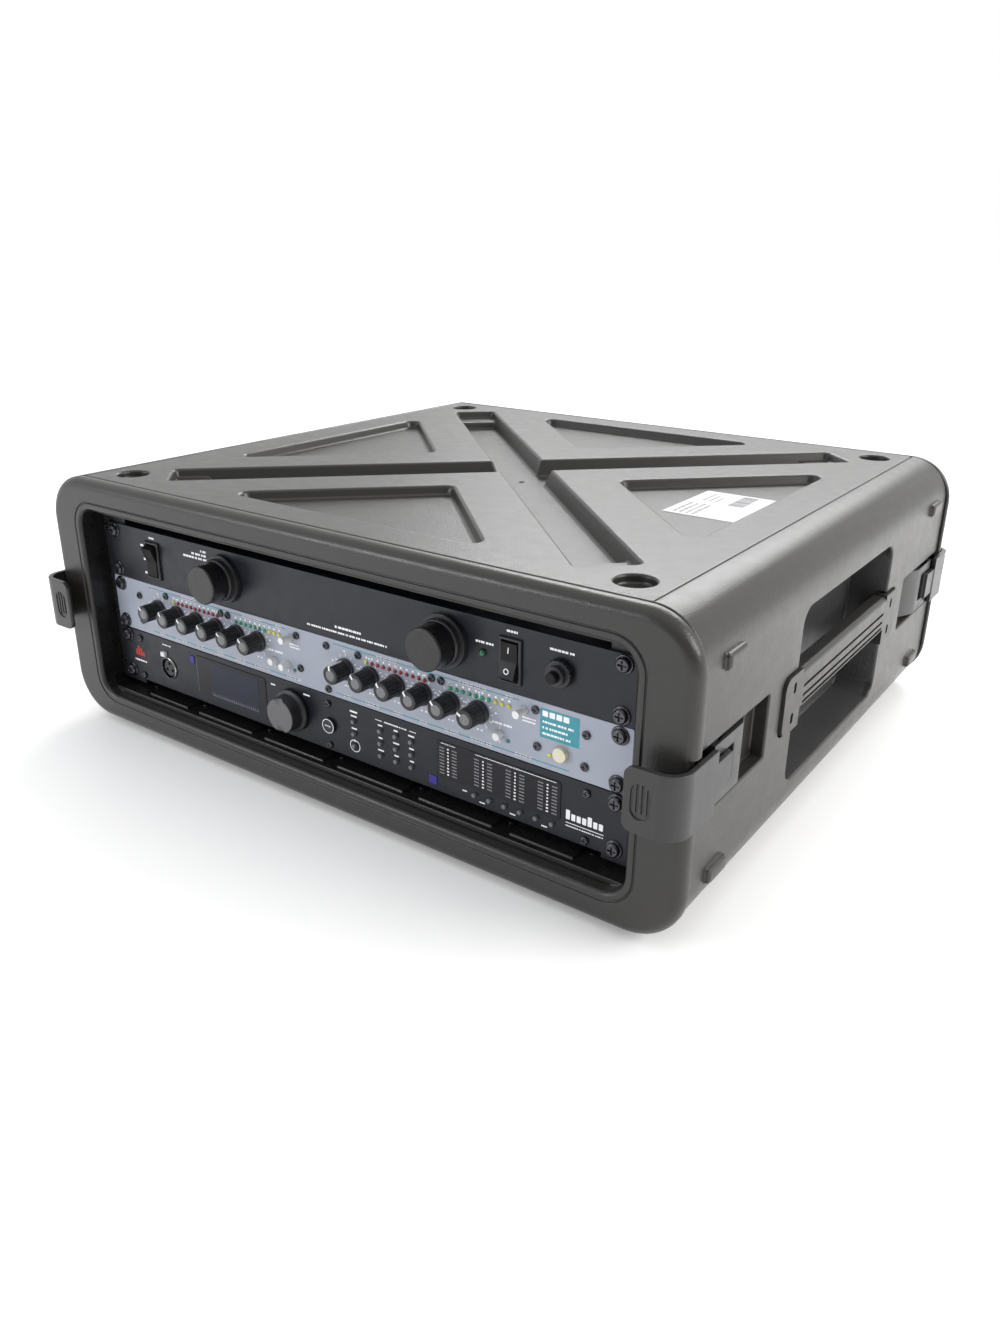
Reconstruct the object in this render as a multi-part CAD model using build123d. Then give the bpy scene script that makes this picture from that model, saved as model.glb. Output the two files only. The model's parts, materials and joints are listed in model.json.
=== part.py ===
"""Portable three-unit rack case with a lamp and power unit, a two-channel compressor and a processor.

Frame: X to the right seen from the front, Y to the back, Z up, in millimetres.
The origin is at the middle of the footprint, on the surface that the feet stand on.
"""
import os
from math import cos, pi, radians, sin

from build123d import *

# ---------------------------------------------------------------- driving dimensions
FOOT_H = 4.0                     # how far the stacking feet stand below the case
CASE_W, CASE_D, CASE_H = 574.0, 508.0, 206.0
CORNER_R = 37.0                  # outer corner of the end rims, seen from the front
WALL = 4.0                       # moulded wall of the shells
MID_Z = FOOT_H + CASE_H / 2      # height of the middle plane of the case

RACK_UNIT = 44.45
PANEL_W, PANEL_H, PANEL_T = 482.6, 43.7, 3.0
HOLE_COLUMNS = 465.1             # distance between the two columns of rack holes
HOLE_OFFSET = 15.875             # rack holes above and below the middle of a unit
RECESS = 19.0                    # front faces of the units lie this far behind the front rim
FACE_Y = -CASE_D / 2 + RECESS    # front face of the units
PANEL_BACK = FACE_Y + PANEL_T

RIM_T = 11.5                     # visible depth of an end rim
OPENING_W, OPENING_H, OPENING_R = 500.0, 159.0, 16.0
SLEEVE_H, SLEEVE_OUTER_H = 150.6, 158.6   # sleeve behind the opening
SLEEVE_SCREWS = (-214, -152, -76, 0, 76, 152, 214)
SLEEVE_END = 42.0                # the sleeve ends this far behind the rim face
SEAM_X = 250.5                   # the top shell meets the side panel here
SIDE_X = 284.5                   # outer face of the side panels
SIDE_R = SIDE_X - SEAM_X
SHELL_END = CASE_D / 2 - RIM_T
DRAFT = 20                       # draft of the recess walls on the top and bottom, degrees
SEAM_BEVEL = 1.1                 # bevels that leave a fine groove at every seam

VALLEY_W, VALLEY_HALF = 42.0, 283.0
VALLEY_DEEP, VALLEY_SHELF = 14.0, 7.0
SHELF_LEN = 25.0
POCKET_DEEP = 7.0
POCKET_APEX = 92.0               # from the middle to the point of each triangular pocket
POCKET_BASE_Y, POCKET_BASE_X = 213.0, 217.0
DIMPLE_R, DIMPLE_DEEP = 12.3, 6.0
DIMPLE_X, DIMPLE_Y = 226.0, 216.0

GRIP_HALF, GRIP_H = 94.5, 126.0  # side pocket: half length and height
GRIP_DEEP = 30.0
PLATE_Y = 90.0                   # the end plates of a carrying handle start here
PLATE_L, PLATE_H = 29.0, 41.0
BAR_H, BAR_T = 30.0, 13.5
HANDLE_X = SIDE_X + 2.0          # outer face of the handle

LATCH_H = 40.0
LATCH_POCKET_H = 44.0
LATCH_X = 289.5                  # outer face of the latch levers
LATCH_T = 3.5
LATCH_FRONT = 271.0              # the levers end this far from the middle of the case
LATCH_PIN = (280.5, 207.0)       # X and Y of a latch hinge pin
LINK_H = 22.0

BUMP_Y0, BUMP_Y1 = 194.0, 218.0
BUMP_Z = 68.6
BUMP_H, BUMP_T = 10.0, 3.5

UNIT_Z = {"power": MID_Z + RACK_UNIT, "compressor": MID_Z, "processor": MID_Z - RACK_UNIT}
CHASSIS_DEPTH = {"power": 200.0, "compressor": 165.0, "processor": 146.0}
CHASSIS_W, CHASSIS_H, SHEET = 432.0, 40.4, 1.2

LAMP_X = 104.0
LAMP_R, LAMP_BORE = 14.3, 14.6
LAMP_OUT = 22.0                  # how far a lamp stands proud of its panel at rest
LAMP_LEN = 147.0
ROCKER_R = 13.0
ROCKERS = {"light": -186.0, "power": 155.3}
ROCKER_TILT = {"light": 9.0, "power": -9.0}   # which end is pressed in at rest
BREAKER_X = 191.0
PROTECTION_X = 134.3

CHANNEL_X = (-129.0, 74.0)       # middle of the knob row of each channel
KNOB_PITCH = 23.0
KNOB_Z = UNIT_Z["compressor"] + 2.7
KNOB_R, KNOB_LEN, SHAFT_R = 8.0, 16.0, 3.0
LED_PITCH, LED_R = 5.12, 1.5
LED_Z = UNIT_Z["compressor"] + 12.7
KEY_R = 2.75
POWER_KEY_X, POWER_KEY_R = 193.5, 4.8

WHEEL_X, WHEEL_R, WHEEL_LEN = -40.0, 13.6, 14.0
WHEEL_SKIRT_R = 16.5
SOCKET_X = -183.0
STANDBY_X, STANDBY_R = -2.4, 5.5
MENU_X = 21.5
OUTPUT_X = (46.2, 60.4, 74.2)
MUTE_X, MUTE_PITCH = 127.8, 12.1
KEY_ROWS = (8.2, -1.4, -11.0)
DOT_R = 1.6                      # small round keys of the processor


# ---------------------------------------------------------------- helpers
def block(x0, x1, y0, y1, z0, z1):
    """Box between two corners."""
    centre = ((x0 + x1) / 2, (y0 + y1) / 2, (z0 + z1) / 2)
    return Pos(*centre) * Box(x1 - x0, y1 - y0, z1 - z0)


def rod_x(y, z, r, x0, x1):
    return Pos((x0 + x1) / 2, y, z) * Rot(0, 90, 0) * Cylinder(r, x1 - x0)


def rod_y(x, z, r, y0, y1):
    return Pos(x, (y0 + y1) / 2, z) * Rot(90, 0, 0) * Cylinder(r, y1 - y0)


def rod_z(x, y, r, z0, z1):
    return Pos(x, y, (z0 + z1) / 2) * Cylinder(r, z1 - z0)


def slab(sketch, y0, y1):
    """Extrude an X-Z outline between two Y values."""
    return extrude(Plane.XZ.offset(-y1) * sketch, amount=y1 - y0)


def tier(sketch, z0, z1, taper=0):
    """Extrude an X-Y outline between two heights."""
    return extrude(Pos(0, 0, z0) * sketch, amount=z1 - z0, taper=taper)


def sunk(sketch, top, depth):
    """A drafted recess below a height, smaller at its floor."""
    return extrude(Pos(0, 0, top) * sketch, amount=depth, dir=(0, 0, -1), taper=DRAFT)


def union(shapes):
    """Fuse a list of shapes."""
    result = shapes[0]
    for shape in shapes[1:]:
        result = result + shape
    return result


def cut_all(body, tools):
    """Take every tool out of the body."""
    for tool in tools:
        body = body - tool
    return body


def turned(shape):
    """The same piece at the back of the case, facing backwards."""
    return Rot(0, 0, 180) * shape


def save(name, shapes):
    """Write one node, which may hold several separate solids."""
    solids = []
    for shape in shapes if isinstance(shapes, list) else [shapes]:
        solids += shape.solids()
    node = solids[0] if len(solids) == 1 else Compound(children=solids)
    node.label = name
    export_step(node, os.path.join("parts", name + ".step"))


# ---------------------------------------------------------------- the case
def end_rim():
    """Front frame: rounded face, opening with a groove round it, and a sleeve that holds the rails."""
    face_y = -CASE_D / 2
    back_y = face_y + RIM_T
    centre = Pos(0, MID_Z)
    rim = slab(centre * RectangleRounded(CASE_W, CASE_H, CORNER_R), face_y, back_y)
    rim = fillet(rim.faces().sort_by(Axis.Y)[0].edges(), 8.0)
    rim = chamfer(rim.faces().sort_by(Axis.Y)[-1].edges(), SEAM_BEVEL)
    rim = rim - slab(centre * RectangleRounded(OPENING_W, OPENING_H, OPENING_R), face_y - 1, back_y + 1)
    rim = fillet(rim.faces().sort_by(Axis.Y)[0].inner_wires()[0].edges(), 3.0)
    groove = RectangleRounded(513, 172, 22.5) - RectangleRounded(510.4, 169.4, 21.2)
    rim = rim - slab(centre * groove, face_y - 1, face_y + 1.2)
    sleeve = RectangleRounded(508, SLEEVE_OUTER_H, 8) - RectangleRounded(OPENING_W, SLEEVE_H, 3)
    rim = rim + slab(centre * sleeve, back_y - 2, face_y + SLEEVE_END)
    pads = []
    for z0, z1 in ((MID_Z - SLEEVE_H / 2 - 0.5, MID_Z - SLEEVE_H / 2 + 1.5),
                   (MID_Z + SLEEVE_H / 2 - 1.5, MID_Z + SLEEVE_H / 2 + 0.5)):
        for left, right in zip(SLEEVE_SCREWS, SLEEVE_SCREWS[1:]):
            pads.append(block(left + 7, right - 7, face_y + 14, face_y + 36, z0, z1))
    rim = union([rim] + pads)
    notches = []
    for side in (-1, 1):
        x0, x1 = sorted((side * 283.0, side * 300.0))
        notch_z = LATCH_POCKET_H / 2
        notches.append(block(x0, x1, face_y - 5, back_y + 5, MID_Z - notch_z, MID_Z + notch_z))
    return cut_all(rim, notches)


def diagonal(length, width, angle):
    """One arm of the crossed channels, with rounded corners, seen from above."""
    return Rot(0, 0, angle) * RectangleRounded(length, width, 5.0)


def valley(grow, half):
    """The two crossed channels, seen from above."""
    bars = [diagonal(2 * (half + grow), VALLEY_W + 2 * grow, angle) for angle in (45, -45)]
    return bars[0] + bars[1]


def pocket_outline(grow=0.0):
    """Four rounded triangles between the arms of the channels, seen from above."""
    step = grow * 2 ** 0.5
    front = POCKET_BASE_Y - POCKET_APEX
    side = POCKET_BASE_X - POCKET_APEX
    outlines = []
    for base, reach, turn in ((POCKET_BASE_X, side, 0), (POCKET_BASE_Y, front, 90),
                              (POCKET_BASE_X, side, 180), (POCKET_BASE_Y, front, 270)):
        spread = reach + grow + step
        corners = [(POCKET_APEX - step, 0), (base + grow, -spread), (base + grow, spread)]
        triangle = make_face(Polyline(*corners, close=True).edges())
        triangle = fillet(triangle.vertices(), 8.0 + grow)
        outlines.append(Rot(0, 0, turn) * triangle)
    return outlines


def cover_shell(dimples):
    """Top shell: a ribbed tray whose outer skin carries the channels and pockets."""
    top = FOOT_H + CASE_H
    skin = top - WALL
    floor = top - VALLEY_DEEP - WALL
    half_x, half_y = SEAM_X, SHELL_END
    body = block(-half_x, half_x, -half_y, half_y, floor, top)
    body = chamfer(body.faces().sort_by(Axis.Z)[-1].edges(), SEAM_BEVEL)
    hollow = block(-half_x + WALL, half_x - WALL, -half_y + WALL, half_y - WALL, floor - 1, skin)
    hollow = hollow - tier(valley(WALL, VALLEY_HALF), floor - 2, skin + 1)
    for outline in pocket_outline(WALL):
        hollow = hollow - tier(outline, top - POCKET_DEEP - WALL, skin + 1)
    body = body - hollow
    for angle in (45, -45):
        body = body - sunk(diagonal(2 * VALLEY_HALF, VALLEY_W, angle), top, VALLEY_SHELF)
        deep = Rot(0, 0, angle) * Rectangle(2 * (VALLEY_HALF - SHELF_LEN), VALLEY_W)
        body = body - sunk(deep, top, VALLEY_DEEP)
    for outline in pocket_outline():
        body = body - sunk(outline, top, POCKET_DEEP)
    body = body - rod_z(0, 0, 2.0, floor - 1, top)
    for x in (-DIMPLE_X, DIMPLE_X):
        for y in (-DIMPLE_Y, DIMPLE_Y):
            boss = rod_z(x, y, DIMPLE_R + WALL, floor, skin + 1)
            inside = block(-half_x + 1, half_x - 1, -half_y + 1, half_y - 1, floor, top - 1)
            body = body + (boss & inside)
            if dimples:
                body = body - rod_z(x, y, DIMPLE_R, top - DIMPLE_DEEP, top + 1)
            else:
                body = body - rod_z(x, y, 10.0, top - DIMPLE_DEEP, top + 1)
    sleeve_top = MID_Z + SLEEVE_OUTER_H / 2
    for end in (-1, 1):
        y0, y1 = sorted((end * half_y, end * (CASE_D / 2 - SLEEVE_END)))
        ledge = block(-244, 244, y0, y1, sleeve_top, sleeve_top + WALL)
        ribs = [block(x - 1.5, x + 1.5, y0, y1, sleeve_top + 1, floor + 5)
                for x in (-242.5, -190, -114, -38, 38, 114, 190, 242.5)]
        body = union([body, ledge] + ribs)
    return body


def bottom_shell():
    return Pos(0, 0, 2 * MID_Z) * Rot(0, 180, 0) * cover_shell(False)


def side_panel():
    """Right side: rounded wall with a handle pocket, two latch pockets and four raised bumps."""
    centre = Pos(0, MID_Z)
    ring = RectangleRounded(2 * SIDE_X, CASE_H, SIDE_R) \
        - RectangleRounded(2 * (SIDE_X - WALL), CASE_H - 2 * WALL, SIDE_R - WALL)
    strip = Pos(SEAM_X + 50, 0) * Rectangle(100, CASE_H + 10)
    panel = slab(centre * (ring & strip), -SHELL_END, SHELL_END)
    tub_x0 = SIDE_X - GRIP_DEEP - 3.5
    tub_half, tub_z = GRIP_HALF + 3.5, GRIP_H / 2 + 3.5
    inner = SIDE_X - 1.0
    panel = panel + block(tub_x0, inner, -tub_half, tub_half, MID_Z - tub_z, MID_Z + tub_z)
    for end in (-1, 1):
        y0, y1 = sorted((end * (GRIP_HALF - 2), end * (PLATE_Y + PLATE_L + 5)))
        panel = panel + block(273.0, inner, y0, y1, MID_Z - 26, MID_Z + 26)
        y0, y1 = sorted((end * 138.0, end * SHELL_END))
        panel = panel + block(271.0, inner, y0, y1, MID_Z - 26, MID_Z + 26)
    grip = Rectangle(2 * GRIP_HALF, GRIP_H)
    grip = fillet(grip.vertices(), 12.0)
    panel = panel - Pos(SIDE_X + 0.01, 0, MID_Z) * extrude(
        Plane.YZ * grip, amount=-GRIP_DEEP, taper=6)
    for end in (-1, 1):
        plate = Pos(SIDE_X + 0.01, end * (PLATE_Y + PLATE_L / 2 - 3), MID_Z + 2)
        sunk = Rectangle(PLATE_L + 7, PLATE_H + 1)
        sunk = fillet(sunk.vertices(), 7.0)
        panel = panel - plate * extrude(Plane.YZ * sunk, amount=-6.2)
        y0, y1 = sorted((end * 142.0, end * (SHELL_END + 1)))
        z0, z1 = MID_Z - LATCH_POCKET_H / 2, MID_Z + LATCH_POCKET_H / 2
        panel = panel - block(274.5, SIDE_X + 1, y0, y1, z0, z1)
        for level in (-BUMP_Z, BUMP_Z):
            y0, y1 = sorted((end * BUMP_Y0, end * BUMP_Y1))
            z = MID_Z + level
            bump = block(SIDE_X - 2, SIDE_X + BUMP_T, y0, y1, z - BUMP_H / 2, z + BUMP_H / 2)
            bump = chamfer(bump.faces().sort_by(Axis.X)[-1].edges(), 1.5)
            panel = panel + bump
    return panel


def carry_handle():
    """Bar with three finger grooves between two screwed end plates, on the right side."""
    bar_z = MID_Z + 6.5
    half = PLATE_Y + 1
    bar = block(HANDLE_X - BAR_T, HANDLE_X, -half, half, bar_z - BAR_H / 2, bar_z + BAR_H / 2)
    bar = fillet(bar.edges().filter_by(Axis.Y), 4.0)
    for level in (2.0, -5.0, -10.0):
        groove = block(HANDLE_X - 2.5, HANDLE_X + 1, -half + 5, half - 5,
                       bar_z + level - 1.1, bar_z + level + 1.1)
        bar = bar - groove
    pieces = [bar]
    for end in (-1, 1):
        outline = Rectangle(PLATE_L, PLATE_H)
        outline = fillet(outline.vertices().group_by(Axis.X)[-1 if end > 0 else 0], 8.0)
        place = Pos(HANDLE_X - 8.0, end * (PLATE_Y + PLATE_L / 2), MID_Z + 2)
        plate = place * extrude(Plane.YZ * outline, amount=8.0)
        for level in (-11, 11):
            z = MID_Z + 2 + level
            y = end * (PLATE_Y + 13)
            slot = Pos(HANDLE_X + 1, y, z) * extrude(
                Plane.YZ * (Rot(0, 0, 90) * SlotOverall(8.0, 4.4)), amount=-5.0)
            plate = plate - slot - rod_x(y, z, 1.6, HANDLE_X - 10, HANDLE_X)
        pieces.append(plate)
    return union(pieces)


def stacking_foot(x, y):
    foot = rod_z(x, y, 11.0, 0, FOOT_H)
    foot = chamfer(foot.faces().sort_by(Axis.Z)[0].edges(), 1.0)
    return foot + rod_z(x, y, 9.8, FOOT_H - 0.5, FOOT_H + DIMPLE_DEEP)


def latch_lever():
    """Front right lever: a plate beside the rim that curves round in front of it, with its tongue."""
    x_in = LATCH_X - LATCH_T
    y_out, y_in = -LATCH_FRONT, -LATCH_FRONT + LATCH_T
    rear_y, bend = -225.5, 15.0
    outline = [Line((LATCH_X, rear_y), (LATCH_X, y_out + bend)),
               RadiusArc((LATCH_X, y_out + bend), (LATCH_X - bend, y_out), bend),
               Line((LATCH_X - bend, y_out), (256.0, y_out)),
               RadiusArc((256.0, y_out), (256.0, y_in), LATCH_T / 2),
               Line((256.0, y_in), (LATCH_X - bend, y_in)),
               RadiusArc((LATCH_X - bend, y_in), (x_in, y_out + bend), -(bend - LATCH_T)),
               Line((x_in, y_out + bend), (x_in, rear_y)),
               Line((x_in, rear_y), (LATCH_X, rear_y))]
    lever = tier(make_face(outline), MID_Z - LATCH_H / 2, MID_Z + LATCH_H / 2)
    grip = slab(Pos(265.5, MID_Z) * RectangleRounded(12, 22, 5.9), y_out - 1, y_out + 1.2)
    ribs = [block(x - 0.8, x + 0.8, y_out, y_out + 1.3, MID_Z - 7.5, MID_Z + 12)
            for x in (262.2, 265.5, 268.8)]
    lever = lever - cut_all(grip, ribs)
    rounded = RectangleRounded(80, LATCH_H, 7)
    lever = lever & slab(Pos(256.0 - LATCH_T / 2 + 40, MID_Z) * rounded, y_out - 1, rear_y + 1)
    pin_x, pin_y = LATCH_PIN
    low, high = MID_Z - LINK_H / 2, MID_Z + LINK_H / 2
    tongue = block(x_in - 0.6, LATCH_X - 0.6, rear_y - 8, -pin_y + 2.4, low, high)
    neck = block(pin_x - 1.8, x_in + 0.4, -pin_y - 3.4, -pin_y + 3.4, low, high)
    barrel = rod_z(pin_x, -pin_y, 3.6, low, high)
    lever = union([lever, tongue, neck, barrel])
    return lever - rod_z(pin_x, -pin_y, 2.05, low - 1, high + 1)


def latch_base():
    """Front right latch base: two cheeks that carry the pin, on a plate in the side pocket."""
    low, high = MID_Z - LATCH_H / 2, MID_Z + LATCH_H / 2
    floor_x, top_x = 274.5, 285.5
    outline = Polyline((floor_x, -223.0), (top_x, -223.0), (top_x, -184.0), (278.0, -166.0),
                       (floor_x, -166.0), close=True)
    base = tier(make_face(outline.edges()), low, high)
    gap = LINK_H / 2 + 0.6
    base = base - block(275.9, top_x + 1, -224, -196.0, MID_Z - gap, MID_Z + gap)
    base = base - block(282.0, top_x + 1, -224, -196.0, MID_Z - gap, MID_Z + gap)
    return base - rod_z(LATCH_PIN[0], -LATCH_PIN[1], 2.0, low - 1, high + 1)


def latch_pin():
    pin = rod_z(LATCH_PIN[0], -LATCH_PIN[1], 2.0, MID_Z - LATCH_H / 2, MID_Z + LATCH_H / 2)
    return pin


def four_corners(shape):
    """Front right, front left, rear left and rear right copies of a front right piece."""
    left = mirror(shape, Plane.YZ)
    return [shape, left, turned(shape), turned(left)]


RAIL_SCREW_X = 245.4
RAIL_SCREWS = (-56.0, -11.7, 20.6, 60.0)


def rack_rail():
    """Front right rail: an angle with tapped holes at the rack pitch."""
    low, high = MID_Z - 72.0, MID_Z + 72.0
    half = OPENING_W / 2
    rail = block(222.0, half, PANEL_BACK, PANEL_BACK + 2.5, low, high)
    rail = rail + block(half - 2.5, half, PANEL_BACK, -CASE_D / 2 + SLEEVE_END, low, high)
    for unit_z in UNIT_Z.values():
        for level in (-HOLE_OFFSET, 0, HOLE_OFFSET):
            rail = rail - rod_y(HOLE_COLUMNS / 2, unit_z + level, 3.0, PANEL_BACK - 1, PANEL_BACK + 4)
    return rail


def screw_y(x, z, y, head_r, head_h, shank_r, length):
    """Pan-head screw driven backwards; the head sits on the plane y."""
    head = rod_y(x, z, head_r, y - head_h, y)
    head = chamfer(head.faces().sort_by(Axis.Y)[0].edges(), head_h * 0.4)
    cross = block(x - head_r * 0.6, x + head_r * 0.6, y - head_h - 1, y - head_h * 0.45,
                  z - head_r * 0.12, z + head_r * 0.12)
    upright = block(x - head_r * 0.12, x + head_r * 0.12, y - head_h - 1, y - head_h * 0.45,
                    z - head_r * 0.6, z + head_r * 0.6)
    return head + rod_y(x, z, shank_r, y - 0.2, y + length) - cross - upright


def case_screws():
    """Handle screws and the small screws of the sleeve floors and ceilings."""
    screws = []
    for side in (-1, 1):
        for end in (-1, 1):
            for level in (-11, 11):
                y, z = end * (PLATE_Y + 13), MID_Z + 2 + level
                head_x = HANDLE_X - 4.0
                head = rod_x(y, z, 2.1, head_x, head_x + 1.6)
                shank = rod_x(y, z, 1.6, head_x - 9.0, head_x + 0.2)
                screw = head + shank
                screws.append(screw if side > 0 else mirror(screw, Plane.YZ))
    low = MID_Z - SLEEVE_H / 2
    for x in SLEEVE_SCREWS:
        for end in (-1, 1):
            y = end * (CASE_D / 2 - 27.6)
            bottom = rod_z(x, y, 2.6, low, low + 1.2) + rod_z(x, y, 1.4, low - 7.5, low + 0.2)
            screws += [bottom, mirror(bottom, Plane.XY.offset(MID_Z))]
    return screws


def sleeve_holes():
    """Screw holes through the sleeve floor and ceiling and the ledges beyond them."""
    holes = []
    for x in SLEEVE_SCREWS:
        for end in (-1, 1):
            y = end * (CASE_D / 2 - 27.6)
            holes.append(rod_z(x, y, 1.4, MID_Z - 90, MID_Z + 90))
    return holes


def handle_screw_holes(side):
    holes = []
    for end in (-1, 1):
        for level in (-11, 11):
            x0, x1 = sorted((side * (HANDLE_X - 14.0), side * (HANDLE_X - 2)))
            holes.append(rod_x(end * (PLATE_Y + 13), MID_Z + 2 + level, 1.6, x0, x1))
    return holes


# ---------------------------------------------------------------- pieces that the units share
def faceplate(unit):
    """One-unit panel with four open-ended mounting slots."""
    z = UNIT_Z[unit]
    panel = slab(Pos(0, z) * RectangleRounded(PANEL_W, PANEL_H, 1.5), FACE_Y, PANEL_BACK)
    for side in (-1, 1):
        for level in (-HOLE_OFFSET, HOLE_OFFSET):
            slot = Pos(side * HOLE_COLUMNS / 2, z + level) * SlotOverall(10.0, 6.8)
            panel = panel - slab(slot, FACE_Y - 1, PANEL_BACK + 1)
    return panel


def chassis_tray(unit):
    """Folded sheet tray: floor, sides and rear panel with openings for the sockets."""
    z, depth = UNIT_Z[unit], CHASSIS_DEPTH[unit]
    y0, y1 = PANEL_BACK, PANEL_BACK + depth
    half, low, high = CHASSIS_W / 2, z - CHASSIS_H / 2, z + CHASSIS_H / 2
    tray = block(-half, half, y0, y1, low, high - SHEET)
    tray = tray - block(-half + SHEET, half - SHEET, y0 - 1, y1 - SHEET, low + SHEET, high)
    for x, kind in REAR_SOCKETS[unit]:
        width, height = SOCKET_SIZE[kind]
        tray = tray - block(x - width / 2, x + width / 2, y1 - SHEET - 1, y1 + 1,
                            z - height / 2, z + height / 2)
    return tray


def chassis_cover(unit):
    """Flat lid with two rows of vent slots."""
    z, depth = UNIT_Z[unit], CHASSIS_DEPTH[unit]
    y0, y1 = PANEL_BACK, PANEL_BACK + depth
    top = z + CHASSIS_H / 2
    cover = block(-CHASSIS_W / 2, CHASSIS_W / 2, y0, y1, top - SHEET, top)
    for i in range(12):
        x = (i - 5.5) * 30.0
        cover = cover - block(x - 2, x + 2, y1 - 60, y1 - 25, top - SHEET - 1, top + 1)
    return cover


SOCKET_SIZE = {"inlet": (27.0, 20.0), "outlet": (32.0, 24.0), "round": (19.0, 19.0)}
REAR_SOCKETS = {
    "power": [(190.0, "inlet")] + [(140.0 - 42.0 * i, "outlet") for i in range(8)],
    "compressor": [(190.0, "inlet")] + [(100.0 - 60.0 * i, "round") for i in range(4)],
    "processor": [(190.0, "inlet")] + [(130.0 - 40.0 * i, "round") for i in range(8)],
}


def rear_socket(unit, x, kind):
    """Inlet, outlet or round connector, set into the rear panel and open to the back."""
    z = UNIT_Z[unit]
    y = PANEL_BACK + CHASSIS_DEPTH[unit]
    width, height = SOCKET_SIZE[kind]
    body = block(x - width / 2, x + width / 2, y - 14, y + 1.5, z - height / 2, z + height / 2)
    if kind == "inlet":
        body = body - block(x - 11.5, x + 11.5, y - 10, y + 2, z - 7.5, z + 7.5)
        pins = [block(x + dx - 0.9, x + dx + 0.9, y - 12, y - 2, z + dz - 2, z + dz + 2)
                for dx, dz in ((-6, -1.5), (0, 1.5), (6, -1.5))]
        return union([body] + pins)
    if kind == "outlet":
        slots = [block(x + dx - 1.1, x + dx + 1.1, y - 10, y + 2, z - 4, z + 4) for dx in (-6, 6)]
        return cut_all(body, slots + [rod_y(x, z - 8.0, 2.4, y - 10, y + 2)])
    ring = rod_y(x, z, 8.3, y - 10, y + 2) - rod_y(x, z, 6.6, y - 11, y + 3)
    body = body - ring
    pins = [rod_y(x + 3.6 * cos(radians(a)), z + 3.6 * sin(radians(a)), 1.3, y - 10, y + 2)
            for a in (90, 210, 330)]
    return cut_all(body, pins)


def circuit_boards():
    """A board with its transformer and reservoir capacitors inside each unit, and the control board."""
    solids = []
    for unit, x0 in (("power", -40.0), ("compressor", 90.0), ("processor", 60.0)):
        floor = UNIT_Z[unit] - CHASSIS_H / 2 + SHEET
        rear = PANEL_BACK + CHASSIS_DEPTH[unit] - 20.0
        board = block(x0 - 120, x0 + 90, rear - 36, rear, floor + 5, floor + 6.6)
        feet = [rod_z(x0 + dx, rear + dy, 2.5, floor, floor + 5)
                for dx in (-115, 85) for dy in (-31, -5)]
        core = block(x0 + 30, x0 + 75, rear - 34, rear - 4, floor + 6.6, floor + 32)
        caps = [rod_z(x0 - 20 - 25 * i, rear - 18, 8.0, floor + 6.6, floor + 28) for i in range(3)]
        solids += [board, core] + feet + caps
    z = UNIT_Z["compressor"]
    control = block(-205, 165, -219.5, -217.9, z - 18, z + 18)
    solids.append(control)
    for centre in CHANNEL_X:
        for i in range(6):
            x = centre + (i - 2.5) * KNOB_PITCH
            pot = block(x - 6, x + 6, -228, -219.5, KNOB_Z - 6, KNOB_Z + 6)
            solids.append(pot - rod_y(x, KNOB_Z, SHAFT_R + 0.05, -229, -221))
    return solids


# ---------------------------------------------------------------- lamp and power unit
def lamp_collar(x):
    """Stepped ring that guides a lamp tube through the panel."""
    z = UNIT_Z["power"]
    ring = rod_y(x, z, 18.3, FACE_Y - 3.5, FACE_Y) + rod_y(x, z, 16.0, FACE_Y - 8.0, FACE_Y - 3.4)
    ring = chamfer(ring.faces().sort_by(Axis.Y)[0].edges(), 1.0)
    ring = ring + rod_y(x, z, 16.2, FACE_Y - 0.1, PANEL_BACK + 9.0)
    return ring - rod_y(x, z, LAMP_BORE, FACE_Y - 20, PANEL_BACK + 20)


def lamp_tube(x):
    """Pull-out lamp: a tube closed at the front, with a window on its underside and a bulb inside."""
    z = UNIT_Z["power"]
    y0 = FACE_Y - LAMP_OUT
    tube = rod_y(x, z, LAMP_R, y0, y0 + LAMP_LEN)
    tube = chamfer(tube.faces().sort_by(Axis.Y)[0].edges(), 0.8)
    tube = tube - rod_y(x, z, LAMP_R - 1.6, y0 + 4.0, y0 + LAMP_LEN + 1)
    tube = tube - block(x - 8, x + 8, y0 + 26, y0 + 78, z - LAMP_R - 1, z - 6)
    holder = rod_y(x, z, LAMP_R - 1.4, y0 + 84, y0 + 98)
    bulb = rod_y(x, z, 6.0, y0 + 44, y0 + 84.2)
    bulb = fillet(bulb.faces().sort_by(Axis.Y)[0].edges(), 5.0)
    return union([tube, holder, bulb])


def switch_frame(x):
    z = UNIT_Z["power"] - 1.2
    frame = block(x - 8.3, x + 8.3, FACE_Y - 2.0, FACE_Y, z - 15.0, z + 15.0)
    frame = chamfer(frame.faces().sort_by(Axis.Y)[0].edges(), 0.7)
    frame = frame + block(x - 7.2, x + 7.2, FACE_Y - 0.1, FACE_Y + 16.0, z - 14.2, z + 14.2)
    return frame - block(x - 6.3, x + 6.3, FACE_Y - 5, FACE_Y + 14.0, z - 13.3, z + 13.3)


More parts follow.
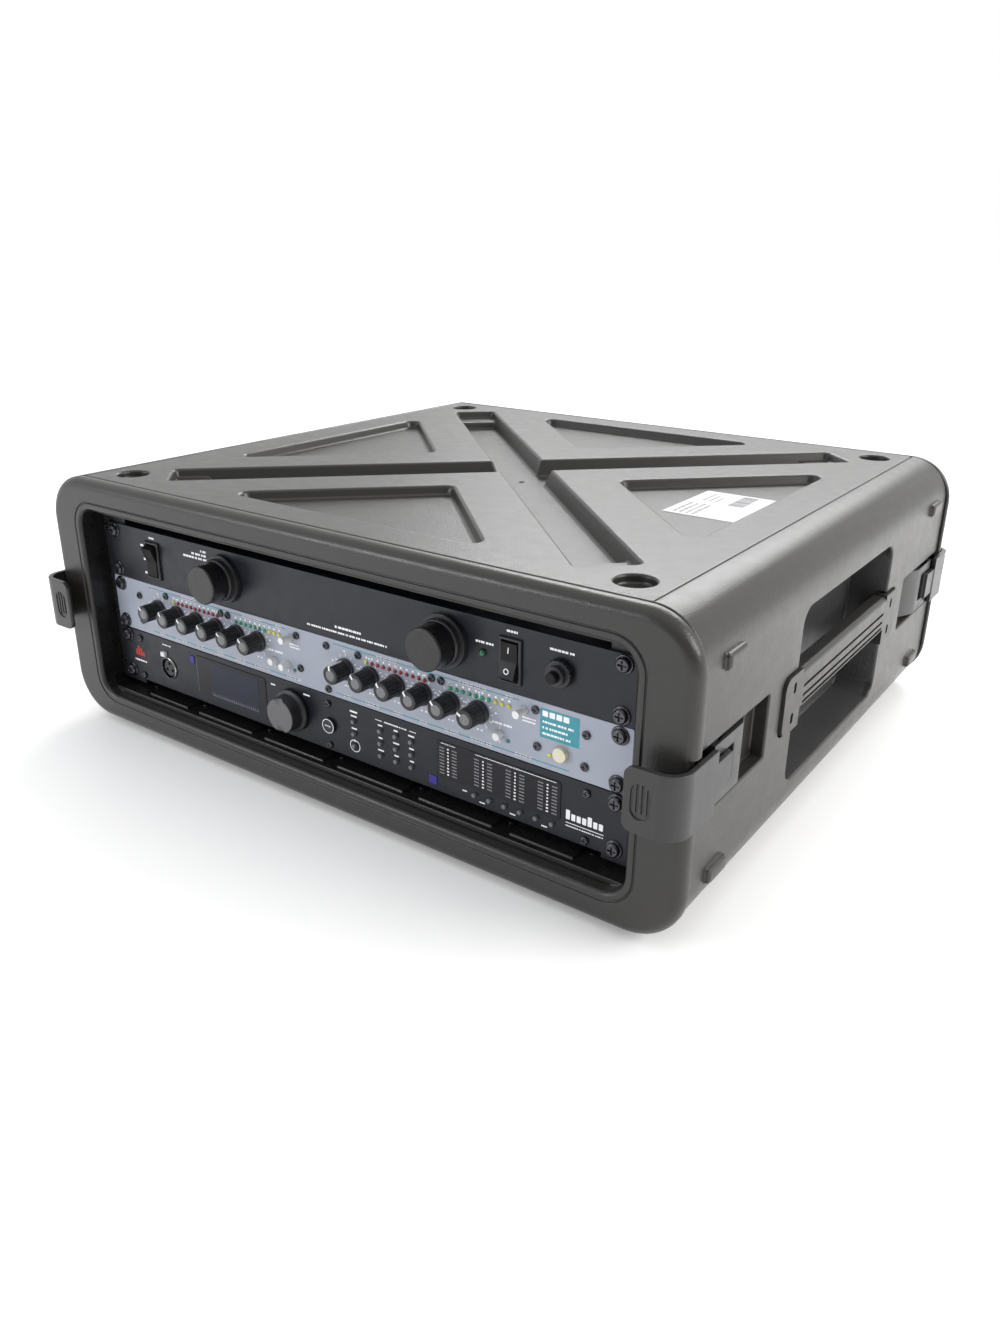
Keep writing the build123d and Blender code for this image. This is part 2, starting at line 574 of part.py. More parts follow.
def rocker(x, tilt):
    """Rocker button: two flat halves that meet in a shallow valley, on a round back."""
    z = UNIT_Z["power"] - 1.2
    pivot_y = FACE_Y + 2.0
    drum = rod_x(pivot_y, z, ROCKER_R, x - 6.0, x + 6.0)
    profile = Polyline((FACE_Y - 2.6, z), (FACE_Y - 5.4, z + 14), (FACE_Y - 30, z + 14),
                       (FACE_Y - 30, z - 14), (FACE_Y - 5.4, z - 14), close=True)
    front = Pos(x - 20, 0, 0) * extrude(Plane.YZ * make_face(profile.edges()), amount=40)
    back = block(x - 20, x + 20, pivot_y + 5.0, pivot_y + 30, z - 20, z + 20)
    axle = rod_x(pivot_y, z, 1.5, x - 6.9, x + 6.9)
    button = drum - front - back + axle
    return Pos(0, pivot_y, z) * Rot(tilt, 0, 0) * Pos(0, -pivot_y, -z) * button


def breaker_body():
    """Threaded bush with a knurled ring nut, holding the reset button."""
    z = UNIT_Z["power"]
    bush = rod_y(BREAKER_X, z, 6.2, FACE_Y - 8.0, PANEL_BACK + 12)
    nut = rod_y(BREAKER_X, z, 9.0, FACE_Y - 4.5, FACE_Y)
    nut = chamfer(nut.faces().sort_by(Axis.Y)[0].edges(), 0.8)
    for i in range(18):
        angle = 2 * pi * i / 18
        nut = nut - rod_y(BREAKER_X + 9.3 * cos(angle), z + 9.3 * sin(angle), 0.8,
                          FACE_Y - 6, FACE_Y + 1)
    case = block(BREAKER_X - 8, BREAKER_X + 8, PANEL_BACK + 1, PANEL_BACK + 30, z - 10, z + 10)
    return union([bush, nut, case]) - rod_y(BREAKER_X, z, 3.7, FACE_Y - 20, PANEL_BACK + 14)


def breaker_button():
    z = UNIT_Z["power"]
    button = rod_y(BREAKER_X, z, 3.65, FACE_Y - 12.0, PANEL_BACK + 5.0)
    return fillet(button.faces().sort_by(Axis.Y)[0].edges(), 0.8)


def power_faceplate():
    z = UNIT_Z["power"]
    lip = block(-222, 222, PANEL_BACK - 1, FACE_Y + 15, z + PANEL_H / 2 - 1.5, z + PANEL_H / 2)
    panel = faceplate("power") + lip
    cuts = [rod_y(x, z, 16.2, FACE_Y - 1, PANEL_BACK + 1) for x in (-LAMP_X, LAMP_X)]
    cuts += [block(x - 7.2, x + 7.2, FACE_Y - 1, PANEL_BACK + 1, z - 15.4, z + 13.0)
             for x in ROCKERS.values()]
    cuts.append(rod_y(BREAKER_X, z, 6.2, FACE_Y - 1, PANEL_BACK + 1))
    cuts.append(rod_y(PROTECTION_X, z - 0.9, 2.4, FACE_Y - 1, PANEL_BACK + 1))
    return cut_all(panel, cuts)


# ---------------------------------------------------------------- compressor
def knob_places():
    """Name and X position of every knob."""
    places = []
    for channel, centre in enumerate(CHANNEL_X, start=1):
        for i in range(6):
            places.append((f"channel_{channel}_knob_{i + 1}", centre + (i - 2.5) * KNOB_PITCH))
    return places


def knob(x):
    """Fluted knob with a skirt, a raised pointer and its shaft."""
    front = FACE_Y - KNOB_LEN
    skirt = rod_y(x, KNOB_Z, KNOB_R, FACE_Y - 3.0, FACE_Y - 0.6)
    body = Pos(x, front + (KNOB_LEN - 2.8) / 2, KNOB_Z) * Rot(90, 0, 0) \
        * Cone(6.9, 6.2, KNOB_LEN - 2.8)
    for i in range(10):
        angle = pi / 2 + 2 * pi * (i + 0.5) / 10
        body = body - rod_y(x + 7.3 * cos(angle), KNOB_Z + 7.3 * sin(angle), 1.0,
                            front - 1, FACE_Y - 3.0)
    shaft = rod_y(x, KNOB_Z, SHAFT_R, FACE_Y - 3.0, -222.0)
    return union([body, skirt, shaft])


def led_places():
    """X position and height of every indicator lamp of the compressor."""
    z = LED_Z
    places = []
    for centre in CHANNEL_X:
        places += [(centre - 32.8 + LED_PITCH * (i - 1), z) for i in range(11)]
        places += [(centre + 34.3 + LED_PITCH * i, z) for i in range(10)]
    low = UNIT_Z["compressor"] - 11.6
    places += [(-34.9, low), (153.8, low), (185.0, low)]
    return places


def indicator_leds():
    """Domed lenses that stand on the panels."""
    lenses = []
    for x, z in led_places():
        lens = rod_y(x, z, LED_R, FACE_Y - 1.4, FACE_Y)
        lenses.append(fillet(lens.faces().sort_by(Axis.Y)[0].edges(), 0.9))
    z = UNIT_Z["power"] - 0.9
    lens = rod_y(PROTECTION_X, z, 2.4, FACE_Y - 3.0, PANEL_BACK)
    lenses.append(fillet(lens.faces().sort_by(Axis.Y)[0].edges(), 1.6))
    return lenses


# name: X position, height above the middle of the unit, how far the cap stands out
PUSH_KEYS = {
    "channel_1_meter_key": (-37.6, 13.2, 9.5),
    "channel_1_bypass_key": (-55.6, -8.8, 5.0),
    "channel_link_key": (-41.8, -8.8, 7.5),
    "channel_2_meter_key": (165.4, 13.2, 9.5),
    "channel_2_bypass_key": (147.5, -8.8, 5.0),
}


def push_key(x, z, out, r=KEY_R):
    """Round cap with a collar behind the panel."""
    cap = rod_y(x, z, r, FACE_Y - out, PANEL_BACK + 4.0)
    cap = fillet(cap.faces().sort_by(Axis.Y)[0].edges(), 0.6)
    return cap + rod_y(x, z, r + 1.0, PANEL_BACK + 0.3, PANEL_BACK + 1.5)


def compressor_faceplate():
    panel = faceplate("compressor")
    z = UNIT_Z["compressor"]
    cuts = [rod_y(x, KNOB_Z, SHAFT_R + 0.05, FACE_Y - 1, PANEL_BACK + 1) for _, x in knob_places()]
    cuts += [rod_y(x, z + up, KEY_R + 0.1, FACE_Y - 1, PANEL_BACK + 1)
             for x, up, _ in PUSH_KEYS.values()]
    cuts.append(rod_y(POWER_KEY_X, z - 8.1, POWER_KEY_R + 0.1, FACE_Y - 1, PANEL_BACK + 1))
    return cut_all(panel, cuts)


# ---------------------------------------------------------------- processor
def key_strip(places, travel_gap=0.5):
    """Small round keys moulded on one strip behind the panel; places are X and height."""
    middle = UNIT_Z["processor"]
    xs = [x for x, _ in places]
    zs = [z for _, z in places]
    web = block(min(xs) - 3, max(xs) + 3, PANEL_BACK + travel_gap, PANEL_BACK + travel_gap + 1.2,
                middle + min(zs) - 3, middle + max(zs) + 3)
    keys = []
    for x, z in places:
        key = rod_y(x, middle + z, DOT_R, FACE_Y - 2.2, PANEL_BACK + travel_gap + 0.2)
        keys.append(fillet(key.faces().sort_by(Axis.Y)[0].edges(), 0.5))
    return union([web] + keys)


MENU_KEYS = [(MENU_X, row) for row in KEY_ROWS]
OUTPUT_KEYS = [(x, row) for x in OUTPUT_X for row in KEY_ROWS]
MUTE_KEYS = [(MUTE_X + MUTE_PITCH * i, -14.4) for i in range(6)]
WINDOWS = {"display": (-107.5, 0.6, 79.0, 34.0), "meters": (145.0, 3.4, 98.0, 27.0)}


def data_wheel():
    """Large wheel with a finger dish at its top and bottom edge, and its shaft."""
    z = UNIT_Z["processor"]
    front = FACE_Y - WHEEL_LEN
    wheel = rod_y(WHEEL_X, z, WHEEL_R, front, FACE_Y - 1.0)
    wheel = chamfer(wheel.faces().sort_by(Axis.Y)[0].edges(), 0.9)
    for side in (-1, 1):
        dish = Pos(WHEEL_X, front - 3.2, z + side * (WHEEL_R - 1.5)) * Sphere(5.2)
        wheel = wheel - dish
    skirt = rod_y(WHEEL_X, z, WHEEL_SKIRT_R, FACE_Y - 3.6, FACE_Y - 0.8)
    skirt = chamfer(skirt.faces().sort_by(Axis.Y)[0].edges(), 0.8)
    return union([wheel, skirt, rod_y(WHEEL_X, z, SHAFT_R, FACE_Y - 1.2, -222.0)])


def mic_socket():
    """Round microphone socket: outer ring, insert with three contact holes, closed back."""
    z = UNIT_Z["processor"] - 2.8
    ring = rod_y(SOCKET_X, z, 9.4, FACE_Y - 1.4, PANEL_BACK + 14)
    ring = chamfer(ring.faces().sort_by(Axis.Y)[0].edges(), 0.5)
    ring = ring - rod_y(SOCKET_X, z, 8.1, FACE_Y - 3, PANEL_BACK + 12)
    insert = rod_y(SOCKET_X, z, 6.8, FACE_Y + 0.2, PANEL_BACK + 12.5)
    for angle in (90, 210, 330):
        x = SOCKET_X + 3.7 * cos(radians(angle))
        insert = insert - rod_y(x, z + 3.7 * sin(radians(angle)), 1.3, FACE_Y - 1, PANEL_BACK + 9)
    return ring + insert


def mic_latch():
    """Release tab above the microphone socket."""
    x, z = SOCKET_X - 4.5, UNIT_Z["processor"] + 8.6
    tab = block(x - 2.6, x + 2.6, FACE_Y - 2.4, PANEL_BACK + 4, z - 2.1, z + 2.1)
    return chamfer(tab.faces().sort_by(Axis.Y)[0].edges(), 0.5)


def processor_faceplate():
    z = UNIT_Z["processor"]
    panel = faceplate("processor")
    cuts = [rod_y(x, z + up, DOT_R + 0.15, FACE_Y - 1, PANEL_BACK + 1)
            for x, up in MENU_KEYS + OUTPUT_KEYS + MUTE_KEYS]
    cuts.append(rod_y(WHEEL_X, z, SHAFT_R + 0.05, FACE_Y - 1, PANEL_BACK + 1))
    cuts.append(rod_y(SOCKET_X, z - 2.8, 9.4, FACE_Y - 1, PANEL_BACK + 1))
    cuts.append(rod_y(STANDBY_X, z - 1.6, STANDBY_R + 0.15, FACE_Y - 1, PANEL_BACK + 1))
    x, up = SOCKET_X - 4.5, z + 8.6
    cuts.append(block(x - 2.8, x + 2.8, FACE_Y - 1, PANEL_BACK + 1, up - 2.3, up + 2.3))
    for x, up, width, height in WINDOWS.values():
        cuts.append(slab(Pos(x, z + up) * RectangleRounded(width - 4, height - 4, 1.0),
                         FACE_Y - 1, PANEL_BACK + 1))
        cuts.append(slab(Pos(x, z + up) * RectangleRounded(width, height, 2.0),
                         FACE_Y - 1, FACE_Y + 0.8))
    return cut_all(panel, cuts)


def display_windows():
    """Dark windows set flush into the panel, with the display module behind each."""
    z = UNIT_Z["processor"]
    solids = []
    for x, up, width, height in WINDOWS.values():
        pane = slab(Pos(x, z + up) * RectangleRounded(width, height, 2.0), FACE_Y - 0.4, FACE_Y + 0.8)
        module = slab(Pos(x, z + up) * RectangleRounded(width - 4, height - 4, 1.0),
                      FACE_Y + 0.8, PANEL_BACK + 6)
        solids.append(pane + module)
    return solids


# ---------------------------------------------------------------- screws of the panels
PANEL_SCREWS = {
    "compressor": [(-210.2, 9.5), (-209.8, -11.7), (-176.2, 15.8), (-111.4, 15.8), (-103.6, 15.8),
                   (-30.8, 16.3), (-28.4, -8.1), (-1.3, 15.8), (-1.3, -17.2), (28.6, 15.8),
                   (93.1, 15.8), (100.9, 15.8), (174.0, 15.8), (175.8, -8.3), (210.2, 9.5),
                   (209.8, -11.7)],
    "processor": [(-217.5, 15.2), (-217.5, -17.6), (-3.3, 15.2), (-3.3, -17.6), (212.0, 15.2),
                  (212.0, -17.6)],
}


def panel_screws():
    screws = []
    for unit, places in PANEL_SCREWS.items():
        for x, z in places:
            screws.append(screw_y(x, UNIT_Z[unit] + z, FACE_Y, 2.8, 1.8, 1.4, 2.0))
    return screws


def panel_screw_holes(unit):
    return [rod_y(x, UNIT_Z[unit] + z, 1.4, FACE_Y - 1, FACE_Y + 2.0)
            for x, z in PANEL_SCREWS[unit]]


def rack_screws():
    """Twelve panel screws with their cup washers, and the eight screws that hold the rails."""
    screws = []
    for side in (-1, 1):
        x = side * HOLE_COLUMNS / 2
        for unit_z in UNIT_Z.values():
            for level in (-HOLE_OFFSET, HOLE_OFFSET):
                z = unit_z + level
                washer = rod_y(x, z, 6.0, FACE_Y - 1.0, FACE_Y)
                washer = chamfer(washer.faces().sort_by(Axis.Y)[0].edges(), 0.5)
                screws.append(washer + screw_y(x, z, FACE_Y - 0.9, 4.7, 2.6, 2.95, 12.0))
    return screws


def rail_screws():
    """Short screws that fix the rails, beside the edges of the panels."""
    screws = []
    for side in (-1, 1):
        for level in RAIL_SCREWS:
            front = screw_y(side * RAIL_SCREW_X, MID_Z + level, PANEL_BACK, 3.4, 1.8, 1.5, 2.5)
            screws += [front, turned(front)]
    return screws


# ---------------------------------------------------------------- writing the nodes
def build_case():
    rim = cut_all(end_rim(), sleeve_holes())
    save("front_rim", rim)
    save("rear_rim", turned(rim))
    save("top_shell", cut_all(cover_shell(True), sleeve_holes()))
    save("bottom_shell", cut_all(bottom_shell(), sleeve_holes()))
    panel = side_panel()
    save("side_panel_right", cut_all(panel, handle_screw_holes(1)))
    save("side_panel_left", cut_all(mirror(panel, Plane.YZ), handle_screw_holes(-1)))
    handle = carry_handle()
    save("carry_handle_right", handle)
    save("carry_handle_left", mirror(handle, Plane.YZ))
    save("stacking_feet", [stacking_foot(x, y) for x in (-DIMPLE_X, DIMPLE_X)
                           for y in (-DIMPLE_Y, DIMPLE_Y)])
    save("latch_bases", four_corners(latch_base()) + four_corners(latch_pin()))
    corners = ("front_right", "front_left", "rear_left", "rear_right")
    for corner, lever in zip(corners, four_corners(latch_lever())):
        save("latch_lever_" + corner, lever)
    rails = four_corners(rack_rail())
    for level in RAIL_SCREWS:
        for side in (-1, 1):
            hole = rod_y(side * RAIL_SCREW_X, MID_Z + level, 1.5, -300, 300)
            rails = [rail - hole for rail in rails]
    save("rack_rails", rails)
    save("case_screws", case_screws() + rack_screws() + rail_screws())


def build_chassis():
    covers, sockets = [], []
    for unit in UNIT_Z:
        save(unit + "_chassis", chassis_tray(unit))
        covers.append(chassis_cover(unit))
        sockets += [rear_socket(unit, x, kind) for x, kind in REAR_SOCKETS[unit]]
    save("chassis_covers", covers)
    save("rear_sockets", sockets)
    save("circuit_boards", circuit_boards())


def build_power_unit():
    save("power_faceplate", power_faceplate())
    save("panel_bezels", [lamp_collar(x) for x in (-LAMP_X, LAMP_X)]
         + [switch_frame(x) - rod_x(FACE_Y + 2.0, UNIT_Z["power"] - 1.2, 1.55, x - 7.0, x + 7.0)
            for x in ROCKERS.values()])
    save("lamp_tube_left", lamp_tube(-LAMP_X))
    save("lamp_tube_right", lamp_tube(LAMP_X))
    for name, x in ROCKERS.items():
        save(name + "_rocker", rocker(x, ROCKER_TILT[name]))
    save("breaker_body", breaker_body())
    save("breaker_button", breaker_button())


def build_compressor():
    save("compressor_faceplate", cut_all(compressor_faceplate(), panel_screw_holes("compressor")))
    for name, x in knob_places():
        save(name, knob(x))
    z = UNIT_Z["compressor"]
    for name, (x, up, out) in PUSH_KEYS.items():
        save(name, push_key(x, z + up, out))
    save("compressor_power_key", push_key(POWER_KEY_X, z - 8.1, 3.6, POWER_KEY_R))
    save("indicator_leds", indicator_leds())


def build_processor():
    save("processor_faceplate", cut_all(processor_faceplate(), panel_screw_holes("processor")))
    save("data_wheel", data_wheel())
    save("display_windows", display_windows())
    save("mic_socket", mic_socket())
    save("mic_latch", mic_latch())
    save("menu_keys", key_strip(MENU_KEYS))
    save("output_keys", key_strip(OUTPUT_KEYS))
    save("mute_keys", key_strip(MUTE_KEYS))
    z = UNIT_Z["processor"] - 1.6
    save("standby_key", push_key(STANDBY_X, z, 2.4, STANDBY_R))
    save("panel_screws", panel_screws())


os.makedirs("parts", exist_ok=True)
build_case()
build_chassis()
build_power_unit()
build_compressor()
build_processor()
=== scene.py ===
"""Visual model of a portable rack case with three audio units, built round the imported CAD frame."""
import json
import math
import random

import bmesh
import bpy
from mathutils import Matrix, Vector

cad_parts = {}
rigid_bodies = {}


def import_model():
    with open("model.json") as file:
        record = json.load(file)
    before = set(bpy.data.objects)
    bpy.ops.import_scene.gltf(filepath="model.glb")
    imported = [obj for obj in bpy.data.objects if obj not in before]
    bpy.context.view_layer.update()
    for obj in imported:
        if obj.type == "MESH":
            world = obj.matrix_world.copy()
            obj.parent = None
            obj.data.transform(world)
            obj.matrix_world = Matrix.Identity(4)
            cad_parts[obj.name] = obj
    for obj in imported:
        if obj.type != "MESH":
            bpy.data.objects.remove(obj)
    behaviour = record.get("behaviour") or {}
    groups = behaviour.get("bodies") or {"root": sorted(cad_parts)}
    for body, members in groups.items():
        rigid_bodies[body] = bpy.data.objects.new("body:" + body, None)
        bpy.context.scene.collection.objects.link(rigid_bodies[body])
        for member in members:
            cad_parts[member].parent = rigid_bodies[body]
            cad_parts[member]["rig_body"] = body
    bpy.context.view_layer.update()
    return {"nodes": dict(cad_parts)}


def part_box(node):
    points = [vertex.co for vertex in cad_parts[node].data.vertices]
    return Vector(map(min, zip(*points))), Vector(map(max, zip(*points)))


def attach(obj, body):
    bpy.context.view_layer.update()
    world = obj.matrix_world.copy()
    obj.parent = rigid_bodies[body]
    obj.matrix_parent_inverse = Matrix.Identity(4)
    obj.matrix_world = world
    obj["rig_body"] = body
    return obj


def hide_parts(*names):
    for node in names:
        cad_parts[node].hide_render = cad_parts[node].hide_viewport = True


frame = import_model()
NODES = frame["nodes"]

MM = 0.001
INK = 0.09                            # thickness of printed marks


def middle(node):
    """Centre of a CAD node at rest, in millimetres."""
    low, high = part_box(node)
    return tuple(round(v, 2) for v in (low + high) / 2 / MM)


UNITS = ("power", "compressor", "processor")
FACE_Y = round(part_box("power_faceplate")[0].y / MM, 2)      # front faces of the three units
UNIT_Z = {unit: middle(unit + "_faceplate")[2] for unit in UNITS}
PANE_Y = FACE_Y - 0.4                 # front of the window panes


# ---------------------------------------------------------------- materials
def mixed(tree, low, high, factor):
    """Colour between two values, driven by a factor socket."""
    mix = tree.nodes.new("ShaderNodeMix")
    mix.data_type = "RGBA"
    mix.inputs["A"].default_value = (*low, 1)
    mix.inputs["B"].default_value = (*high, 1)
    tree.links.new(factor, mix.inputs["Factor"])
    return mix.outputs["Result"]


def ranged(tree, value, low, high, to_low, to_high):
    """Value mapped from one range to another, and kept inside it."""
    node = tree.nodes.new("ShaderNodeMapRange")
    node.inputs["From Min"].default_value = low
    node.inputs["From Max"].default_value = high
    node.inputs["To Min"].default_value = to_low
    node.inputs["To Max"].default_value = to_high
    tree.links.new(value, node.inputs["Value"])
    return node.outputs["Result"]


def noise(tree, coords, scale, detail):
    """Noise pattern in the object's own space."""
    node = tree.nodes.new("ShaderNodeTexNoise")
    node.inputs["Scale"].default_value = scale
    node.inputs["Detail"].default_value = detail
    node.inputs["Roughness"].default_value = 0.55
    tree.links.new(coords, node.inputs["Vector"])
    return node.outputs["Fac"]


def surface(name, colour, rough, metal=0.0, grain=1400, grain_bump=0.15, mottle=0.15,
            mottle_scale=22, rough_spread=0.08, coat=0.0, dust=0.0, specular=0.5):
    """Procedural material: mottled colour, uneven gloss, fine grain, and a little dust on top faces."""
    made = bpy.data.materials.new(name)
    made.use_nodes = True
    tree = made.node_tree
    shader = tree.nodes["Principled BSDF"]
    shader.inputs["Metallic"].default_value = metal
    shader.inputs["Coat Weight"].default_value = coat
    shader.inputs["Coat Roughness"].default_value = 0.12
    shader.inputs["Specular IOR Level"].default_value = specular
    coords = tree.nodes.new("ShaderNodeTexCoord").outputs["Object"]
    low = tuple(c * (1 - mottle) for c in colour)
    high = tuple(min(1.0, c * (1 + mottle)) for c in colour)
    blotch = ranged(tree, noise(tree, coords, mottle_scale, 5.0), 0.3, 0.7, 0, 1)
    shade = mixed(tree, low, high, blotch)
    if dust:
        normal = tree.nodes.new("ShaderNodeNewGeometry").outputs["Normal"]
        split = tree.nodes.new("ShaderNodeSeparateXYZ")
        tree.links.new(normal, split.inputs[0])
        upward = ranged(tree, split.outputs["Z"], 0.5, 1.0, 0, dust)
        patches = ranged(tree, noise(tree, coords, 60, 6.0), 0.35, 0.75, 0.2, 1.0)
        amount = tree.nodes.new("ShaderNodeMath")
        amount.operation = "MULTIPLY"
        tree.links.new(upward, amount.inputs[0])
        tree.links.new(patches, amount.inputs[1])
        dusty = tree.nodes.new("ShaderNodeMix")
        dusty.data_type = "RGBA"
        dusty.inputs["B"].default_value = (0.32, 0.31, 0.29, 1)
        tree.links.new(amount.outputs[0], dusty.inputs["Factor"])
        tree.links.new(shade, dusty.inputs["A"])
        shade = dusty.outputs["Result"]
    tree.links.new(shade, shader.inputs["Base Color"])
    gloss = ranged(tree, noise(tree, coords, 90, 4.0), 0.3, 0.7,
                   max(0.02, rough - rough_spread), min(1.0, rough + rough_spread))
    tree.links.new(gloss, shader.inputs["Roughness"])
    bump = tree.nodes.new("ShaderNodeBump")
    bump.inputs["Strength"].default_value = grain_bump
    bump.inputs["Distance"].default_value = 0.0004
    tree.links.new(noise(tree, coords, grain, 2.0), bump.inputs["Height"])
    tree.links.new(bump.outputs["Normal"], shader.inputs["Normal"])
    return made


CASE = surface("moulded_case", (0.027, 0.0252, 0.0234), 0.32, grain=800, grain_bump=0.42,
               mottle=0.03, mottle_scale=14, rough_spread=0.03, dust=0.020)
# Darker copy of the case plastic for the faces inside the opening: painted shade.
PAINTED_SHADE_SLEEVE = surface("moulded_sleeve_painted_shade", (0.010, 0.010, 0.010), 0.30, grain=1700, grain_bump=0.2, mottle=0.06)
# Lighter copy of the case plastic for the handle recesses: painted light that brightens the shaded
# recess; its coarse grain is real.
PAINTED_LIGHT_POCKET = surface("moulded_pocket_painted_light", (0.056, 0.055, 0.056), 0.34, grain=600, grain_bump=0.70, mottle=0.08,
                 rough_spread=0.05)
LATCH = surface("latch_plastic", (0.030, 0.030, 0.030), 0.32, grain=2200, grain_bump=0.12, mottle=0.06,
                rough_spread=0.04)
HANDLE = surface("handle_plastic", (0.032, 0.031, 0.029), 0.36, grain=1800, grain_bump=0.15, mottle=0.05,
                 rough_spread=0.04)
RUBBER = surface("foot_rubber", (0.02, 0.02, 0.02), 0.8, grain=1200, grain_bump=0.4)
RAIL = surface("rail_steel", (0.03, 0.03, 0.032), 0.36, metal=0.3, grain=2600, grain_bump=0.1)
BLACK_PANEL = surface("black_panel_paint", (0.0090, 0.0105, 0.0170), 0.36, grain=3000,
                      grain_bump=0.10, mottle=0.08, specular=0.38)
LILAC_PANEL = surface("lilac_panel_enamel", (0.36, 0.385, 0.46), 0.40, grain=3200,
                      grain_bump=0.08, mottle=0.04)
STEEL = surface("folded_steel", (0.035, 0.035, 0.038), 0.45, metal=0.2, grain=1800, mottle=0.2)
NICKEL = surface("nickel_plate", (0.55, 0.55, 0.56), 0.24, metal=1.0, grain=2500, grain_bump=0.05,
                 mottle=0.08)
BLACK_SCREW = surface("blackened_screw", (0.09, 0.09, 0.10), 0.20, metal=0.95, grain=2500,
                      grain_bump=0.06, mottle=0.2)
BEZEL = surface("bezel_plastic", (0.022, 0.022, 0.024), 0.42, grain=2600, grain_bump=0.10)
LAMP_FACE = surface("lamp_face", (0.13, 0.13, 0.135), 0.55, grain=1900, grain_bump=0.35, mottle=0.06)
LAMP_SIDE = surface("lamp_side", (0.012, 0.012, 0.013), 0.30, grain=2600, grain_bump=0.05)
ROCKER = surface("rocker_plastic", (0.008, 0.008, 0.009), 0.40, specular=0.2, grain=2600,
                 grain_bump=0.04)
KNOB = surface("knob_plastic", (0.014, 0.014, 0.016), 0.36, grain=2600, grain_bump=0.10)
KNOB_CAP = surface("knob_cap", (0.17, 0.17, 0.18), 0.26, grain=2600, grain_bump=0.05, mottle=0.1)
WHITE = surface("white_plastic", (0.80, 0.80, 0.79), 0.30, grain=2600, grain_bump=0.03, mottle=0.02)
CREAM = surface("cream_plastic", (0.72, 0.68, 0.50), 0.36, grain=2600, grain_bump=0.04, mottle=0.05)
WINDOW = surface("window_acrylic", (0.003, 0.003, 0.006), 0.10, specular=0.35, grain=40, grain_bump=0.01,
                 mottle=0.1, rough_spread=0.03)
SCREEN = surface("display_glass", (0.004, 0.008, 0.026), 0.16, specular=0.35, grain=40, grain_bump=0.01,
                 mottle=0.25, mottle_scale=60, rough_spread=0.03)
INK_WHITE = surface("ink_white", (0.95, 0.95, 0.96), 0.5, grain=3000, mottle=0.03)
INK_GREY = surface("ink_grey", (0.20, 0.20, 0.22), 0.5, grain=3000, mottle=0.05)
INK_TEAL = surface("ink_teal", (0.045, 0.30, 0.36), 0.45, grain=3000, mottle=0.05)
INK_RED = surface("ink_red", (0.62, 0.012, 0.010), 0.45, grain=3000, mottle=0.05)
INK_BLUE = surface("ink_blue", (0.022, 0.015, 0.26), 0.35, grain=3000, mottle=0.15)
LED_RED = surface("lens_red", (0.30, 0.006, 0.012), 0.14, grain=800, grain_bump=0.02, coat=0.5)
LED_GREEN = surface("lens_green", (0.012, 0.30, 0.14), 0.16, grain=800, grain_bump=0.02, coat=0.5)
LED_TEAL = surface("lens_teal", (0.02, 0.24, 0.22), 0.16, grain=800, grain_bump=0.02, coat=0.5)
LED_YELLOW = surface("lens_yellow", (0.62, 0.60, 0.05), 0.16, grain=800, grain_bump=0.02, coat=0.5)
LED_DARK = surface("lens_dark_green", (0.01, 0.11, 0.05), 0.12, grain=800, grain_bump=0.02, coat=0.6)
PAPER = surface("paper_label", (0.62, 0.62, 0.64), 0.55, grain=700, grain_bump=0.1, mottle=0.03)
BOARD = surface("board_mask", (0.012, 0.09, 0.04), 0.35, grain=900, grain_bump=0.2)
SOCKET = surface("socket_plastic", (0.018, 0.018, 0.019), 0.4, grain=2000, grain_bump=0.1)
KEY_CAP = surface("grey_key", (0.16, 0.16, 0.17), 0.34, grain=2000, grain_bump=0.1)


